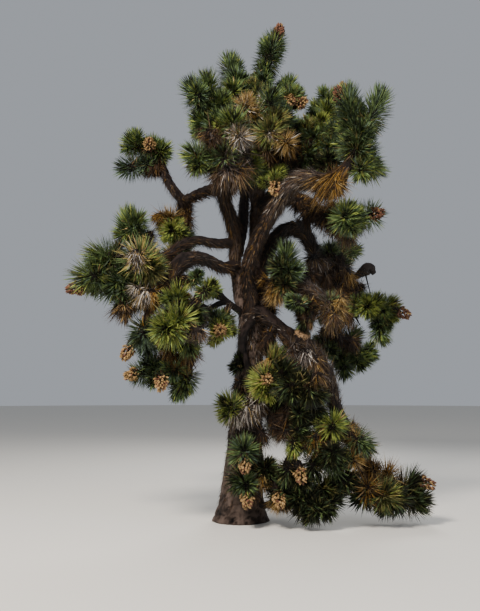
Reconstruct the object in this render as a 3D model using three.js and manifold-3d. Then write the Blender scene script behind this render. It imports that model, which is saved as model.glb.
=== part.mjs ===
// An old Joshua tree, in millimetres, +Z up, with its origin at the middle of the trunk's flat cut at ground level.
// Thick limbs fork, arch and droop from one short trunk, and every limb ends in heads of stiff, bayonet-like leaves.
// Each limb is one tapering tube and each mass of leaf heads is one solid: twigs that branch from a single stem,
// swelling into a thatched core that the leaves stand out of. Dry fruit clusters sit on some heads.
import * as THREE from 'three';
import { mergeVertices } from 'three/addons/utils/BufferGeometryUtils.js';
import Module from 'manifold-3d';

const wasm = await Module();
wasm.setup();

// Driving sizes
const viewDistance = 9000; // from the viewpoint to the trunk: places are written as they line up from there
const eyeHeight = 1600; // of that viewpoint above the ground
const jointGap = 0.3; // left between two pieces that touch
const limbSides = 8;
const trunkSides = 12;
const twigSides = 4;
const limbStep = 300; // length of limb to one ring
const flare = 95; // how far the trunk's foot spreads past its taper
const flareHeight = 230; // height over which the flare dies away
const coreRadius = 52; // the part of a twig that bears live leaves
const skirtRadius = 72; // the thatch of dead leaves under it
const skirtLength = 200;
const tipRadius = 20;
const leafBand = 85; // length of twig to one band of leaves
const fruitRadius = 76;
const fruitLength = 190;
const leafLeans = { g: [18, 106], p: [18, 106], f: [52, 112], d: [18, 128] }; // degrees, at a head's tip and its foot
const groundClearance = 14; // the lowest a leaf tip or a twig may come

// Limbs. Each point of a path is [across, up, behind]: where the limb shows on the trunk's plane from the viewpoint,
// and how far behind that plane it is. root and tip are radii. A limb that is rooted in another starts inside it.
const limbs = [
  { name: 'trunk', root: 240, tip: 128,
    path: [[0, -80, 0], [10, 300, 0], [55, 850, 10], [95, 1500, 30], [125, 2050, 50], [140, 2580, 50]] },
  { name: 'front_bough', root: 84, tip: 84,
    path: [[140, 2450, 0], [135, 2750, -90], [95, 3020, -170], [150, 3280, -260], [270, 3570, -380],
      [400, 3820, -500], [545, 4040, -620], [680, 4200, -720], [780, 4255, -770]] },
  { name: 'corner_bough', root: 80, tip: 56,
    path: [[780, 4255, -770], [930, 4275, -860], [1080, 4255, -920], [1250, 4330, -960], [1390, 4440, -980]] },
  { name: 'prop_bough', root: 78, tip: 68,
    path: [[140, 2480, -20], [230, 2550, -90], [340, 2480, -150], [450, 2390, -210], [570, 2305, -270],
      [710, 2225, -340], [860, 2110, -400], [970, 1970, -430], [1050, 1830, -440]] },
  { name: 'apron_bough', root: 66, tip: 46,
    path: [[560, 2310, -265], [640, 2120, -380], [690, 1880, -480], [720, 1580, -560], [690, 1290, -600]] },
  { name: 'prop_foot', root: 66, tip: 70,
    path: [[1050, 1830, -440], [1105, 1680, -440], [1150, 1480, -430], [1220, 1270, -420], [1340, 1050, -400],
      [1480, 820, -380], [1580, 560, -350], [1640, 330, -330]] },
  { name: 'crown_bough', root: 98, tip: 48,
    path: [[130, 2480, 120], [140, 2950, 220], [200, 3400, 270], [208, 3800, 300], [250, 4130, 320],
      [350, 4500, 330], [390, 4850, 330], [330, 5180, 320], [290, 5450, 300]] },
  { name: 'centre_bough', root: 78, tip: 66,
    path: [[100, 2480, 60], [5, 2720, 80], [-20, 2930, 80], [-65, 3160, 60], [-55, 3400, 20], [-75, 3620, -20]] },
  { name: 'left_crown_bough', root: 66, tip: 60,
    path: [[-75, 3620, -20], [-130, 3800, -90], [-210, 4030, -190], [-235, 4230, -280], [-215, 4420, -350]] },
  { name: 'left_upper_bough', root: 62, tip: 48,
    path: [[-225, 4135, -240], [-400, 4120, -80], [-550, 4065, 60], [-710, 3995, 200], [-820, 4085, 290],
      [-900, 4200, 360], [-960, 4330, 420], [-1010, 4450, 460]] },
  { name: 'left_drop_bough', root: 56, tip: 44,
    path: [[-720, 4000, 205], [-735, 3800, 270], [-725, 3620, 330], [-740, 3500, 400]] },
  { name: 'left_middle_bough', root: 52, tip: 46,
    path: [[-60, 3430, 20], [-220, 3425, -60], [-380, 3440, -160], [-520, 3470, -260], [-660, 3440, -360],
      [-800, 3360, -440], [-930, 3270, -520], [-1060, 3220, -620]] },
  { name: 'left_lower_bough', root: 60, tip: 70,
    path: [[-60, 3130, 50], [-220, 3120, -120], [-370, 3190, -300], [-520, 3240, -460], [-680, 3225, -620]] },
  { name: 'left_hanging_bough', root: 70, tip: 48,
    path: [[-680, 3225, -620], [-800, 3120, -720], [-860, 2950, -790], [-870, 2750, -830], [-830, 2500, -820],
      [-740, 2250, -780], [-650, 2030, -720], [-640, 1870, -680]] },
  { name: 'inner_bough', root: 62, tip: 48,
    path: [[-45, 3280, 70], [25, 3600, 180], [50, 3900, 320], [55, 4200, 460], [20, 4500, 600], [-10, 4750, 700]] },
  { name: 'arch_bough', root: 80, tip: 84,
    path: [[180, 2450, 110], [245, 2850, 210], [292, 3130, 290], [390, 3400, 380], [530, 3575, 470],
      [690, 3640, 560]] },
  { name: 'droop_bough', root: 84, tip: 50,
    path: [[690, 3640, 560], [820, 3560, 610], [920, 3370, 650], [1010, 3180, 670], [1100, 2960, 680],
      [1180, 2720, 670], [1210, 2480, 640], [1180, 2250, 600]] },
  { name: 'slant_bough', root: 68, tip: 54,
    path: [[190, 2520, 60], [330, 2690, -20], [520, 2840, -120], [700, 2900, -220], [850, 2860, -310],
      [980, 2770, -400], [1090, 2680, -470], [1150, 2560, -520]] },
  { name: 'right_tip_bough', root: 48, tip: 40,
    path: [[1180, 2740, 670], [1330, 2725, 620], [1500, 2665, 560], [1680, 2585, 500]] },
  { name: 'shade_bough', root: 74, tip: 60,
    path: [[260, 3900, 310], [440, 4010, 250], [610, 4030, 150], [780, 3990, 40], [930, 3900, -60],
      [1050, 3790, -150], [1170, 3710, -230]] },
  { name: 'right_crown_bough', root: 58, tip: 44,
    path: [[330, 4380, 325], [520, 4570, 430], [700, 4790, 540], [850, 4960, 620]] },
  { name: 'dead_stub', root: 40, tip: 24,
    path: [[1100, 2960, 680], [1280, 2965, 640], [1430, 2990, 600], [1560, 3065, 570], [1640, 3110, 550],
      [1695, 3040, 540]] },
  { name: 'back_bough', root: 70, tip: 50,
    path: [[200, 3150, 240], [212, 3550, 640], [200, 3950, 1020], [80, 4350, 1330]] },
];

// Masses of leaf heads. on and at say which limb the stem leaves and how far along it (1 is its tip), to is the middle
// of the first head, [across, up, behind], and aim the way it faces, in the same order. girth is the stem's radius,
// column the length of twig that bears live leaves, and leaf their length. Each of the sides is one more head: the
// clock angle, in degrees, at which it lies from the first as seen from the viewpoint, and how far off it is.
// kinds says what each head bears, the first one first: g green, p pale, d dead, f green with fruit.
const masses = [
  { name: 'front_trunk_heads', on: 'trunk', at: 0.6, to: [335, 1690, -560], aim: [0.05, 0.1, -1], girth: 42,
    column: 120, leaf: 235, sides: [[14, 330], [64, 250]], kinds: 'fgg' },
  { name: 'left_trunk_heads', on: 'trunk', at: 0.48, to: [-160, 1400, -420], aim: [-0.6, 0.35, -0.8], girth: 38,
    column: 130, leaf: 210, sides: [[110, 330]], kinds: 'gd' },
  { name: 'foot_heads', on: 'trunk', at: 0.27, to: [50, 860, -560], aim: [0, 0.5, -1], girth: 40,
    column: 120, leaf: 215, sides: [[186, 420], [134, 480]], kinds: 'ffg' },
  { name: 'apron_top_heads', on: 'apron_bough', at: 0.62, to: [880, 1500, -800], aim: [0, -1, -0.35], girth: 38,
    column: 260, leaf: 215, sides: [[285, 330], [30, 300]], kinds: 'ggd' },
  { name: 'apron_heads', on: 'apron_bough', at: 1, to: [660, 800, -700], aim: [0, -1, -0.5], girth: 40,
    column: 120, leaf: 165, sides: [[20, 300], [325, 290], [194, 330]], kinds: 'fgdg' },
  { name: 'prop_heads', on: 'prop_foot', at: 0.42, to: [1130, 1120, -760], aim: [-0.1, -0.2, -1], girth: 40,
    column: 110, leaf: 205, sides: [[180, 400], [206, 620], [119, 470], [236, 310]], kinds: 'gggfd' },
  { name: 'ground_front_heads', on: 'trunk', at: 0.1, to: [850, 230, -640], aim: [0.1, 0.45, -1], girth: 44,
    column: 140, leaf: 235, sides: [[52, 300], [300, 330]], kinds: 'ggg' },
  { name: 'ground_right_heads', on: 'prop_foot', at: 1, to: [2110, 450, -300], aim: [0.6, 0.6, -0.5], girth: 46,
    column: 190, leaf: 265, sides: [[262, 520], [291, 330], [172, 260]], kinds: 'fgdg' },
  { name: 'column_head', on: 'slant_bough', at: 0.36, to: [590, 3330, -380], aim: [0.08, 1, -0.05], girth: 42,
    column: 480, leaf: 220, sides: [], kinds: 'g' },
  { name: 'slant_heads', on: 'slant_bough', at: 0.78, to: [860, 2400, -520], aim: [-0.1, -1, -0.3], girth: 38,
    column: 120, leaf: 170, sides: [[52, 420], [320, 330]], kinds: 'dgg' },
  { name: 'right_tip_heads', on: 'right_tip_bough', at: 1, to: [1900, 2640, 380], aim: [0.8, 0.35, -0.4], girth: 38,
    column: 150, leaf: 195, sides: [[197, 430], [276, 320]], kinds: 'fgg' },
  { name: 'right_low_heads', on: 'droop_bough', at: 1, to: [1540, 1960, 480], aim: [0.85, -0.25, -0.35], girth: 42,
    column: 190, leaf: 205, sides: [[262, 280], [340, 330]], kinds: 'ggg' },
  { name: 'right_middle_heads', on: 'droop_bough', at: 0.52, to: [1320, 3170, 620], aim: [0.5, 0.8, -0.3], girth: 36,
    column: 110, leaf: 165, sides: [[162, 330], [245, 330]], kinds: 'gdd' },
  { name: 'right_face_heads', on: 'shade_bough', at: 1, to: [1370, 3820, -480], aim: [0.1, 0.15, -1], girth: 44,
    column: 120, leaf: 225, sides: [[94, 330], [176, 300]], kinds: 'gfd' },
  { name: 'corner_heads', on: 'corner_bough', at: 1, to: [1560, 5000, -900], aim: [0.1, 1, -0.1], girth: 46,
    column: 440, leaf: 240, sides: [[36, 430], [338, 430], [165, 620]], kinds: 'ggfg' },
  { name: 'right_crown_heads', on: 'right_crown_bough', at: 1, to: [1230, 5380, 560], aim: [0.6, 0.8, -0.2],
    girth: 38, column: 220, leaf: 190, sides: [[232, 300], [200, 370]], kinds: 'ggg' },
  { name: 'right_inner_heads', on: 'right_crown_bough', at: 0.42, to: [1150, 4760, 250], aim: [0.7, 0.35, -0.5],
    girth: 40, column: 200, leaf: 215, sides: [[236, 360], [264, 470]], kinds: 'ggd' },
  { name: 'spire_head', on: 'crown_bough', at: 1, to: [465, 6150, 250], aim: [0.32, 1, 0], girth: 40,
    column: 470, leaf: 215, sides: [], kinds: 'f' },
  { name: 'top_right_heads', on: 'crown_bough', at: 0.92, to: [640, 5560, 350], aim: [0.1, 1, -0.1], girth: 38,
    column: 120, leaf: 175, sides: [[233, 300], [150, 260]], kinds: 'fgf' },
  { name: 'top_left_heads', on: 'inner_bough', at: 1, to: [-130, 5840, 450], aim: [-0.1, 1, 0], girth: 42,
    column: 210, leaf: 215, sides: [[152, 320], [124, 470]], kinds: 'ggg' },
  { name: 'crown_centre_heads', on: 'crown_bough', at: 0.8, to: [450, 5040, -250], aim: [0.6, 0.1, -0.8], girth: 40,
    column: 130, leaf: 235, sides: [[298, 300], [218, 320], [352, 330]], kinds: 'gddg' },
  { name: 'crown_left_heads', on: 'left_crown_bough', at: 1, to: [-330, 5270, -400], aim: [-0.1, 0.55, -0.8],
    girth: 48, column: 230, leaf: 240, sides: [[307, 370], [342, 320]], kinds: 'ggg' },
  { name: 'crown_face_heads', on: 'left_crown_bough', at: 0.86, to: [-200, 4580, -800], aim: [-0.1, 0.1, -1],
    girth: 46, column: 120, leaf: 225, sides: [[273, 410], [46, 330], [14, 500], [328, 400]], kinds: 'ggpgd' },
  { name: 'inner_heads', on: 'crown_bough', at: 0.58, to: [230, 4390, -150], aim: [-0.1, 0.25, -1], girth: 36,
    column: 100, leaf: 165, sides: [[104, 250], [32, 330]], kinds: 'gfd' },
  { name: 'left_top_heads', on: 'left_upper_bough', at: 1, to: [-1150, 4710, 420], aim: [-0.1, 0.55, -0.8],
    girth: 44, column: 150, leaf: 215, sides: [[284, 260], [228, 450], [186, 330]], kinds: 'fggd' },
  { name: 'left_inner_heads', on: 'left_drop_bough', at: 0.7, to: [-900, 3610, 80], aim: [-0.1, -0.15, -1],
    girth: 38, column: 100, leaf: 190, sides: [[323, 240], [122, 250]], kinds: 'gdg' },
  { name: 'far_left_upright_head', on: 'left_middle_bough', at: 0.93, to: [-1370, 3640, -500],
    aim: [-0.05, 1, -0.05], girth: 40, column: 150, leaf: 300, sides: [[106, 250]], kinds: 'gd' },
  { name: 'far_left_heads', on: 'left_middle_bough', at: 1, to: [-1290, 3220, -960], aim: [0.15, -0.1, -1],
    girth: 48, column: 130, leaf: 285, sides: [[275, 500], [250, 690], [222, 470]], kinds: 'pgfg' },
  { name: 'left_pale_heads', on: 'left_hanging_bough', at: 0.3, to: [-1220, 2750, -900], aim: [-0.2, 0, -1],
    girth: 42, column: 110, leaf: 215, sides: [[245, 390], [182, 520], [306, 310]], kinds: 'pdfg' },
  { name: 'left_bright_heads', on: 'left_hanging_bough', at: 0.5, to: [-870, 2330, -1150], aim: [-0.05, -0.1, -1],
    girth: 44, column: 130, leaf: 270, sides: [[12, 480], [42, 760], [98, 400]], kinds: 'gggd' },
  { name: 'left_bottom_heads', on: 'left_hanging_bough', at: 1, to: [-680, 1650, -760], aim: [0.05, -0.5, -0.9],
    girth: 42, column: 130, leaf: 195, sides: [[302, 350], [282, 620], [340, 390]], kinds: 'ggfd' },
  { name: 'trunk_side_heads', on: 'trunk', at: 0.95, to: [-370, 2880, -330], aim: [-0.1, 0.2, -1], girth: 42,
    column: 100, leaf: 165, sides: [[164, 540], [212, 640]], kinds: 'gfd' },
  { name: 'back_left_heads', on: 'back_bough', at: 1, to: [-120, 4930, 1500], aim: [-0.2, 0.9, 0.5], girth: 46,
    column: 240, leaf: 240, sides: [[286, 420], [80, 420], [200, 520]], kinds: 'gggd' },
  { name: 'back_right_heads', on: 'back_bough', at: 0.62, to: [850, 4560, 1450], aim: [0.5, 0.5, 0.7], girth: 48,
    column: 220, leaf: 240, sides: [[60, 420], [310, 380]], kinds: 'gfg' },
  { name: 'back_low_heads', on: 'trunk', at: 0.6, to: [760, 1500, 900], aim: [0.3, 0.5, 0.8], girth: 46,
    column: 180, leaf: 240, sides: [[215, 400], [20, 330]], kinds: 'ggf' },
  { name: 'left_back_heads', on: 'left_drop_bough', at: 1, to: [-950, 2950, 1000], aim: [-0.5, 0.3, 0.8],
    girth: 46, column: 180, leaf: 240, sides: [[230, 400], [20, 330]], kinds: 'ggg' },
  { name: 'right_back_heads', on: 'droop_bough', at: 0.36, to: [1210, 2990, 1300], aim: [0.5, 0.4, 0.8], girth: 48,
    column: 200, leaf: 240, sides: [[20, 400], [160, 420]], kinds: 'ggf' },
];

const barkColour = new THREE.Color('#5b4a3f');
const barkRoughness = 0.92;
const foliageColours = { g: '#5d7030', f: '#61722f', p: '#a39a72', d: '#8f7a55' };
const foliageRoughness = 0.6;

// A number from 0 to 1 that is always the same for the same three keys.
function chance(a, b, c) {
  const wave = Math.sin(a * 12.9898 + b * 78.233 + c * 37.719) * 43758.5453;
  return wave - Math.floor(wave);
}

// The true place of a point written as it lines up from the viewpoint.
function place([across, up, behind]) {
  const spread = 1 + behind / viewDistance;
  return new THREE.Vector3(across * spread, behind, eyeHeight + (up - eyeHeight) * spread);
}

// A direction written in the same order: across, up, behind.
function heading([across, up, behind]) {
  return new THREE.Vector3(across, behind, up).normalize();
}

function lerp(a, b, t) {
  return a + (b - a) * t;
}

// Rings of points square to a path, that don't twist from one to the next. Each ring has a centre and a radius, and a
// ring that is turned lies half a step round from the others.
function ringPoints(rings, sides) {
  const last = rings.length - 1;
  const tangents = rings.map((_, i) =>
    rings[Math.min(i + 1, last)].centre.clone().sub(rings[Math.max(i - 1, 0)].centre).normalize());
  const start = Math.abs(tangents[0].x) < 0.8 ? new THREE.Vector3(1, 0, 0) : new THREE.Vector3(0, 1, 0);
  let normal = start.cross(tangents[0]).normalize();
  return rings.map((ring, i) => {
    normal = normal.clone().addScaledVector(tangents[i], -normal.dot(tangents[i])).normalize();
    const side = tangents[i].clone().cross(normal);
    return Array.from({ length: sides }, (_, j) => {
      const turn = (2 * Math.PI * (j + (ring.turned ? 0.5 : 0))) / sides;
      const spoke = normal.clone().multiplyScalar(Math.cos(turn)).addScaledVector(side, Math.sin(turn));
      return ring.centre.clone().addScaledVector(spoke, ring.radius);
    });
  });
}

// The triangles of a closed tube over such rings: its root, the bands between rings, and a cap that rises to an apex.
// Each is three corners, with the number of its band, and they all face out.
function tubeFaces(points, rings, apex) {
  const sides = points[0].length;
  const faces = [];
  for (let j = 1; j < sides - 1; j++) {
    faces.push({ corners: [points[0][0], points[0][j + 1], points[0][j]], band: -1 });
  }
  for (let i = 0; i < points.length - 1; i++) {
    const [low, high] = [points[i], points[i + 1]];
    const lag = rings[i].turned && !rings[i + 1].turned ? 1 : 0;
    for (let j = 0; j < sides; j++) {
      const next = (j + 1) % sides;
      const over = (j + lag) % sides;
      faces.push({ corners: [low[j], low[next], high[over]], band: i });
      const [lowEnd, highEnd] = lag ? [low[j], high[next]] : [low[next], high[next]];
      faces.push({ corners: [lowEnd, highEnd, high[j]], band: i });
    }
  }
  const top = points[points.length - 1];
  top.forEach((corner, j) => {
    faces.push({ corners: [corner, top[(j + 1) % sides], apex], band: points.length - 1 });
  });
  return faces;
}

function geometryOfFaces(faces) {
  const positions = faces.flatMap((face) => face.corners.flatMap((corner) => corner.toArray()));
  const geometry = new THREE.BufferGeometry();
  geometry.setAttribute('position', new THREE.Float32BufferAttribute(positions, 3));
  return geometry;
}

function solid(faces) {
  const merged = mergeVertices(geometryOfFaces(faces), 1e-3);
  return new wasm.Manifold(new wasm.Mesh({
    numProp: 3,
    vertProperties: new Float32Array(merged.attributes.position.array),
    triVerts: new Uint32Array(merged.index.array),
  }));
}

function geometryOf(body) {
  const mesh = body.getMesh();
  const geometry = new THREE.BufferGeometry();
  const positions = new Float32Array(mesh.numVert * 3);
  for (let i = 0; i < mesh.numVert; i++) {
    positions.set(mesh.vertProperties.subarray(i * mesh.numProp, i * mesh.numProp + 3), i * 3);
  }
  geometry.setAttribute('position', new THREE.BufferAttribute(positions, 3));
  geometry.setIndex(new THREE.BufferAttribute(mesh.triVerts, 1));
  geometry.computeVertexNormals();
  return geometry;
}

// The largest piece of a body: what a cut leaves loose is dropped.
function mainPiece(body) {
  return body.decompose().reduce((best, piece) => (piece.volume() > best.volume() ? piece : best));
}

function boxesMeet(one, two) {
  return [0, 1, 2].every((k) => one.min[k] <= two.max[k] && two.min[k] <= one.max[k]);
}

// The limbs as smooth curves, and the radius along one: an even taper, with the trunk's flare at the ground.
function limbCurve(limb) {
  return new THREE.CatmullRomCurve3(limb.path.map(place), false, 'centripetal');
}

function limbRadius(limb, t, height) {
  const taper = lerp(limb.root, limb.tip, t);
  return limb.name === 'trunk' ? taper + flare * Math.exp(-Math.max(height, 0) / flareHeight) : taper;
}

function limbSolid(limb, grow) {
  const curve = limbCurve(limb);
  const steps = Math.max(3, Math.round(curve.getLength() / limbStep));
  const rings = curve.getSpacedPoints(steps).map((centre, i) =>
    ({ centre, radius: limbRadius(limb, i / steps, centre.z) + grow }));
  const ends = [[rings[0], rings[1]], [rings[steps], rings[steps - 1]]].map(([end, next]) =>
    end.centre.clone().sub(next.centre).normalize());
  rings[0].centre.addScaledVector(ends[0], grow);
  rings[steps].centre.addScaledVector(ends[1], grow);
  const points = ringPoints(rings, limb.name === 'trunk' ? trunkSides : limbSides);
  return solid(tubeFaces(points, rings, rings[steps].centre));
}

// Every limb is cut clear of the limbs before it, which it grows from or passes.
function growLimbs() {
  const made = [];
  for (const limb of limbs) {
    let body = limbSolid(limb, 0);
    for (const other of made) {
      body = body.subtract(other.grown);
    }
    if (limb.name === 'trunk') body = body.trimByPlane([0, 0, 1], 0);
    made.push({ name: limb.name, body: mainPiece(body), grown: limbSolid(limb, jointGap) });
  }
  return made;
}

// A twig from its root to the middle of its head, leaving one way and arriving another.
function twigCurve(root, leaving, tip, aim) {
  const pull = root.distanceTo(tip) * 0.36;
  return new THREE.CubicBezierCurve3(
    root, root.clone().addScaledVector(leaving, pull), tip.clone().addScaledVector(aim, -pull), tip);
}

// A head's own figures: its twig's curve, the way it faces, and how much of the twig is under leaves and skirt.
function makeHead(curve, aim, girth, column, leaf, kind, key) {
  const length = curve.getLength();
  const leafy = Math.min(column, length * 0.55);
  const skirt = Math.min(skirtLength, (length - leafy) * 0.75);
  return { curve, aim, girth, leafy, skirt, length, leaf, kind, key };
}

// The rings of a head's twig: bare wood, the swelling of its thatch, the core that the leaves stand on, and on some
// the lumps of a fruit cluster past its tip. The bands from firstLeafy up to lastLeafy bear leaves.
function headRings(head, grow) {
  const { length, leafy, skirt, girth, kind } = head;
  const bare = length - leafy - skirt;
  const rings = [[0, girth], [bare * 0.5, girth * 0.95], [bare, girth * 0.9], [bare + skirt * 0.65, skirtRadius]];
  if (bare < 120) rings.splice(1, 1);
  const firstLeafy = rings.length - 1;
  const bands = Math.max(2, Math.round(leafy / leafBand) + 1);
  for (let i = 1; i <= bands; i++) {
    const share = i / bands;
    rings.push([length - leafy * (1 - share) * 1.05, lerp(coreRadius * 1.15, tipRadius, share ** 3)]);
  }
  const lastLeafy = rings.length - 1;
  if (kind === 'f') {
    rings.push([length + fruitLength * 0.3, fruitRadius * 0.8], [length + fruitLength * 0.7, fruitRadius]);
  }
  return { firstLeafy, lastLeafy, rings: rings.map(([at, radius], i) => ({
    centre: pointPast(head, at), radius: radius + grow, turned: i % 2 === 1, at })) };
}

// A point on a head's twig, or straight on past its tip.
function pointPast(head, at) {
  const over = Math.max(at - head.length, 0);
  return head.curve.getPointAt(Math.min(at / head.length, 1)).addScaledVector(head.aim, over);
}

function headFaces(head, grow) {
  const { rings, firstLeafy, lastLeafy } = headRings(head, grow);
  const points = ringPoints(rings, twigSides);
  const top = rings[rings.length - 1].at;
  const apex = pointPast(head, top + (head.kind === 'f' ? fruitLength * 0.3 : tipRadius) + grow);
  const last = head.kind === 'f' ? lastLeafy - 1 : lastLeafy;
  return tubeFaces(points, rings, apex).map((face) =>
    ({ ...face, leafy: face.band >= firstLeafy && face.band <= last }));
}

// The tip of the leaf that stands on one face of a head's core. It leans out further the further it is from the
// head's tip, and a dead one hangs.
function leafTip(face, head, index) {
  const centre = new THREE.Vector3();
  face.corners.forEach((corner) => centre.addScaledVector(corner, 1 / 3));
  const tip = head.curve.getPointAt(1);
  const back = THREE.MathUtils.clamp(tip.sub(centre).dot(head.curve.getTangentAt(1)) / head.length, 0, 1);
  const axisPoint = head.curve.getPointAt(1 - back);
  const axis = head.curve.getTangentAt(1 - back);
  const spoke = centre.clone().sub(axisPoint);
  spoke.addScaledVector(axis, -spoke.dot(axis)).normalize();
  const share = Math.min((back * head.length) / (head.leafy + head.skirt * 0.35), 1);
  const lean = THREE.MathUtils.degToRad(lerp(...leafLeans[head.kind], share ** 0.7));
  const direction = axis.multiplyScalar(Math.cos(lean)).addScaledVector(spoke, Math.sin(lean));
  direction.z -= (head.kind === 'd' ? 0.35 : 0.08) * share;
  const length = head.leaf * (0.88 + 0.24 * chance(head.key, 2, index));
  return axisPoint.addScaledVector(direction.normalize(), length);
}

// The face with its leaf on it: three sides that meet at the leaf's tip.
function leafSides([a, b, c], tip) {
  return [[a, b, tip], [b, c, tip], [c, a, tip]].map((corners) => ({ corners }));
}

// A leaf as a solid of its own, a little larger than it is, to test it by.
function testLeaf([a, b, c], tip) {
  const body = solid([...leafSides([a, b, c], tip), { corners: [a, c, b] }]);
  const middle = a.clone().add(b).add(c).add(tip).multiplyScalar(0.25);
  return body.translate(...middle.clone().negate().toArray()).scale(1.03).translate(...middle.toArray());
}

// All the twigs of a mass: the first from the limb to its head, and the side twigs from part way along it.
function massHeads(mass, massKey) {
  const curve = limbCurve(limbs.find((limb) => limb.name === mass.on));
  const along = curve.getTangentAt(mass.at);
  const root = curve.getPointAt(mass.at);
  if (mass.at === 1) root.addScaledVector(along, jointGap);
  const tip = place(mass.to);
  const straight = tip.clone().sub(root).normalize();
  const leaving = mass.at === 1 ? along.multiplyScalar(0.8).add(straight).normalize() : straight;
  const aim = heading(mass.aim);
  const main = twigCurve(root, leaving, tip, aim);
  const heads = [makeHead(main, aim, mass.girth, mass.column, mass.leaf, mass.kinds[0], massKey)];
  mass.sides.forEach(([clock, reach], i) => {
    const key = massKey + (i + 1) / 10;
    const turn = THREE.MathUtils.degToRad(clock);
    const [across, up, behind] = mass.to;
    const depth = behind + reach * 0.3 * (2 * chance(key, 3, 0) - 1);
    const end = place([across + reach * Math.sin(turn), up + reach * Math.cos(turn), depth]);
    const forkAt = lerp(0.35, 0.55, chance(key, 4, 0));
    const fork = main.getPointAt(forkAt);
    const out = end.clone().sub(fork).normalize();
    const sideAim = aim.clone().multiplyScalar(0.7).add(out).normalize();
    const sideLeaving = main.getTangentAt(forkAt).multiplyScalar(0.7).add(out).normalize();
    const side = twigCurve(fork, sideLeaving, end, sideAim);
    const column = mass.column * lerp(0.8, 1.1, chance(key, 5, 0));
    heads.push(makeHead(side, sideAim, mass.girth * 0.9, column, mass.leaf * 0.95, mass.kinds[i + 1], key));
  });
  return heads;
}

// The twigs of every mass come first. Then each face of a core gets its leaf if that leaf touches no limb, no twig
// and no leaf of another head, and stays above the ground. Last, the heads of each mass are fused into one solid,
// which is cut clear of the limbs and of the twigs of the masses before it.
function growMasses(limbBodies) {
  const heads = masses.flatMap((mass, owner) => massHeads(mass, owner + 1).map((head) => ({ ...head, owner })));
  const taken = limbBodies.map((limb) => ({ body: limb.grown, box: limb.grown.boundingBox() }));
  heads.forEach((head) => {
    head.faces = headFaces(head, 0);
    head.grown = solid(headFaces(head, jointGap));
    taken.push({ head, body: head.grown, box: head.grown.boundingBox() });
  });
  for (const head of heads) {
    head.leaves = 0;
    head.faces = head.faces.flatMap((face, i) => {
      if (!face.leafy) return [face];
      const tip = leafTip(face, head, i);
      const body = testLeaf(face.corners, tip);
      const box = body.boundingBox();
      const clear = box.min[2] > groundClearance && taken.every((other) =>
        other.head === head || !boxesMeet(box, other.box) || body.intersect(other.body).isEmpty());
      if (!clear) return [face];
      head.leaves += 1;
      taken.push({ head, body, box });
      return leafSides(face.corners, tip);
    });
  }
  return masses.map((mass, owner) => {
    const own = heads.filter((head) => head.owner === owner);
    let body = wasm.Manifold.union(own.map((head) => solid(head.faces)));
    const cutters = [...limbBodies, ...heads.filter((head) => head.owner < owner)];
    for (const cutter of cutters) {
      if (boxesMeet(body.boundingBox(), cutter.grown.boundingBox())) body = body.subtract(cutter.grown);
    }
    const leaves = own.reduce((sum, head) => sum + head.leaves, 0);
    return { name: mass.name, leaves, body: mainPiece(body.trimByPlane([0, 0, 1], groundClearance)) };
  });
}

const tree = new THREE.Group();
tree.name = 'joshua_tree';

function addNode(name, body, colour, roughness) {
  const material = new THREE.MeshStandardMaterial({ color: colour, roughness, metalness: 0 });
  const mesh = new THREE.Mesh(geometryOf(body), material);
  mesh.name = name;
  tree.add(mesh);
}

const limbBodies = growLimbs();
limbBodies.forEach((limb) => addNode(limb.name, limb.body, barkColour, barkRoughness));
const massBodies = growMasses(limbBodies);
massBodies.forEach((mass, i) => {
  addNode(mass.name, mass.body, new THREE.Color(foliageColours[masses[i].kinds[0]]), foliageRoughness);
});

export default tree;
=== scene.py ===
# An old Joshua tree, whole, as it stands on flat ground. Metres, +Z up, the origin at the middle of the
# trunk's foot. The frame's limbs get a mesh with the bark's relief and a thatch of dead leaves, and
# each mass of leaf heads is grown again from the same rule as the frame's, with finer twigs, live
# leaves, skirts of dead ones, and pods.
import bpy
import numpy as np
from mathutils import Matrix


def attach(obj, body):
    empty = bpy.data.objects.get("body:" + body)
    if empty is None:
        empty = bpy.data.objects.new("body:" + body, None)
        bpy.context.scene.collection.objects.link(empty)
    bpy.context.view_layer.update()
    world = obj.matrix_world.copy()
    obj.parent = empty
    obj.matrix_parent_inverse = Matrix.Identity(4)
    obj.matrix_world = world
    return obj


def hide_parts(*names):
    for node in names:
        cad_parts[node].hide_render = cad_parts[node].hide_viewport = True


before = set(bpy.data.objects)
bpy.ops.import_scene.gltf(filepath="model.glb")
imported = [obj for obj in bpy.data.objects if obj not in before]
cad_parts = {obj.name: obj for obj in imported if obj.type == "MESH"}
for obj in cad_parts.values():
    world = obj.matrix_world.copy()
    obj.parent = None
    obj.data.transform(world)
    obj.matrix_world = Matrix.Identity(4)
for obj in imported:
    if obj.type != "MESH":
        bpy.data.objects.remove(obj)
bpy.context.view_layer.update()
print("frame loaded:", len(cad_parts), "nodes")

# The places in both tables are in millimetres as they line up from this
# viewpoint: across, up, behind the trunk.
viewpoint = {"distance": 9.0, "eyeHeight": 1.6, "tiltDegrees": 6.54, "lens": 42.4, "sensorHeight": 36}

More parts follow.
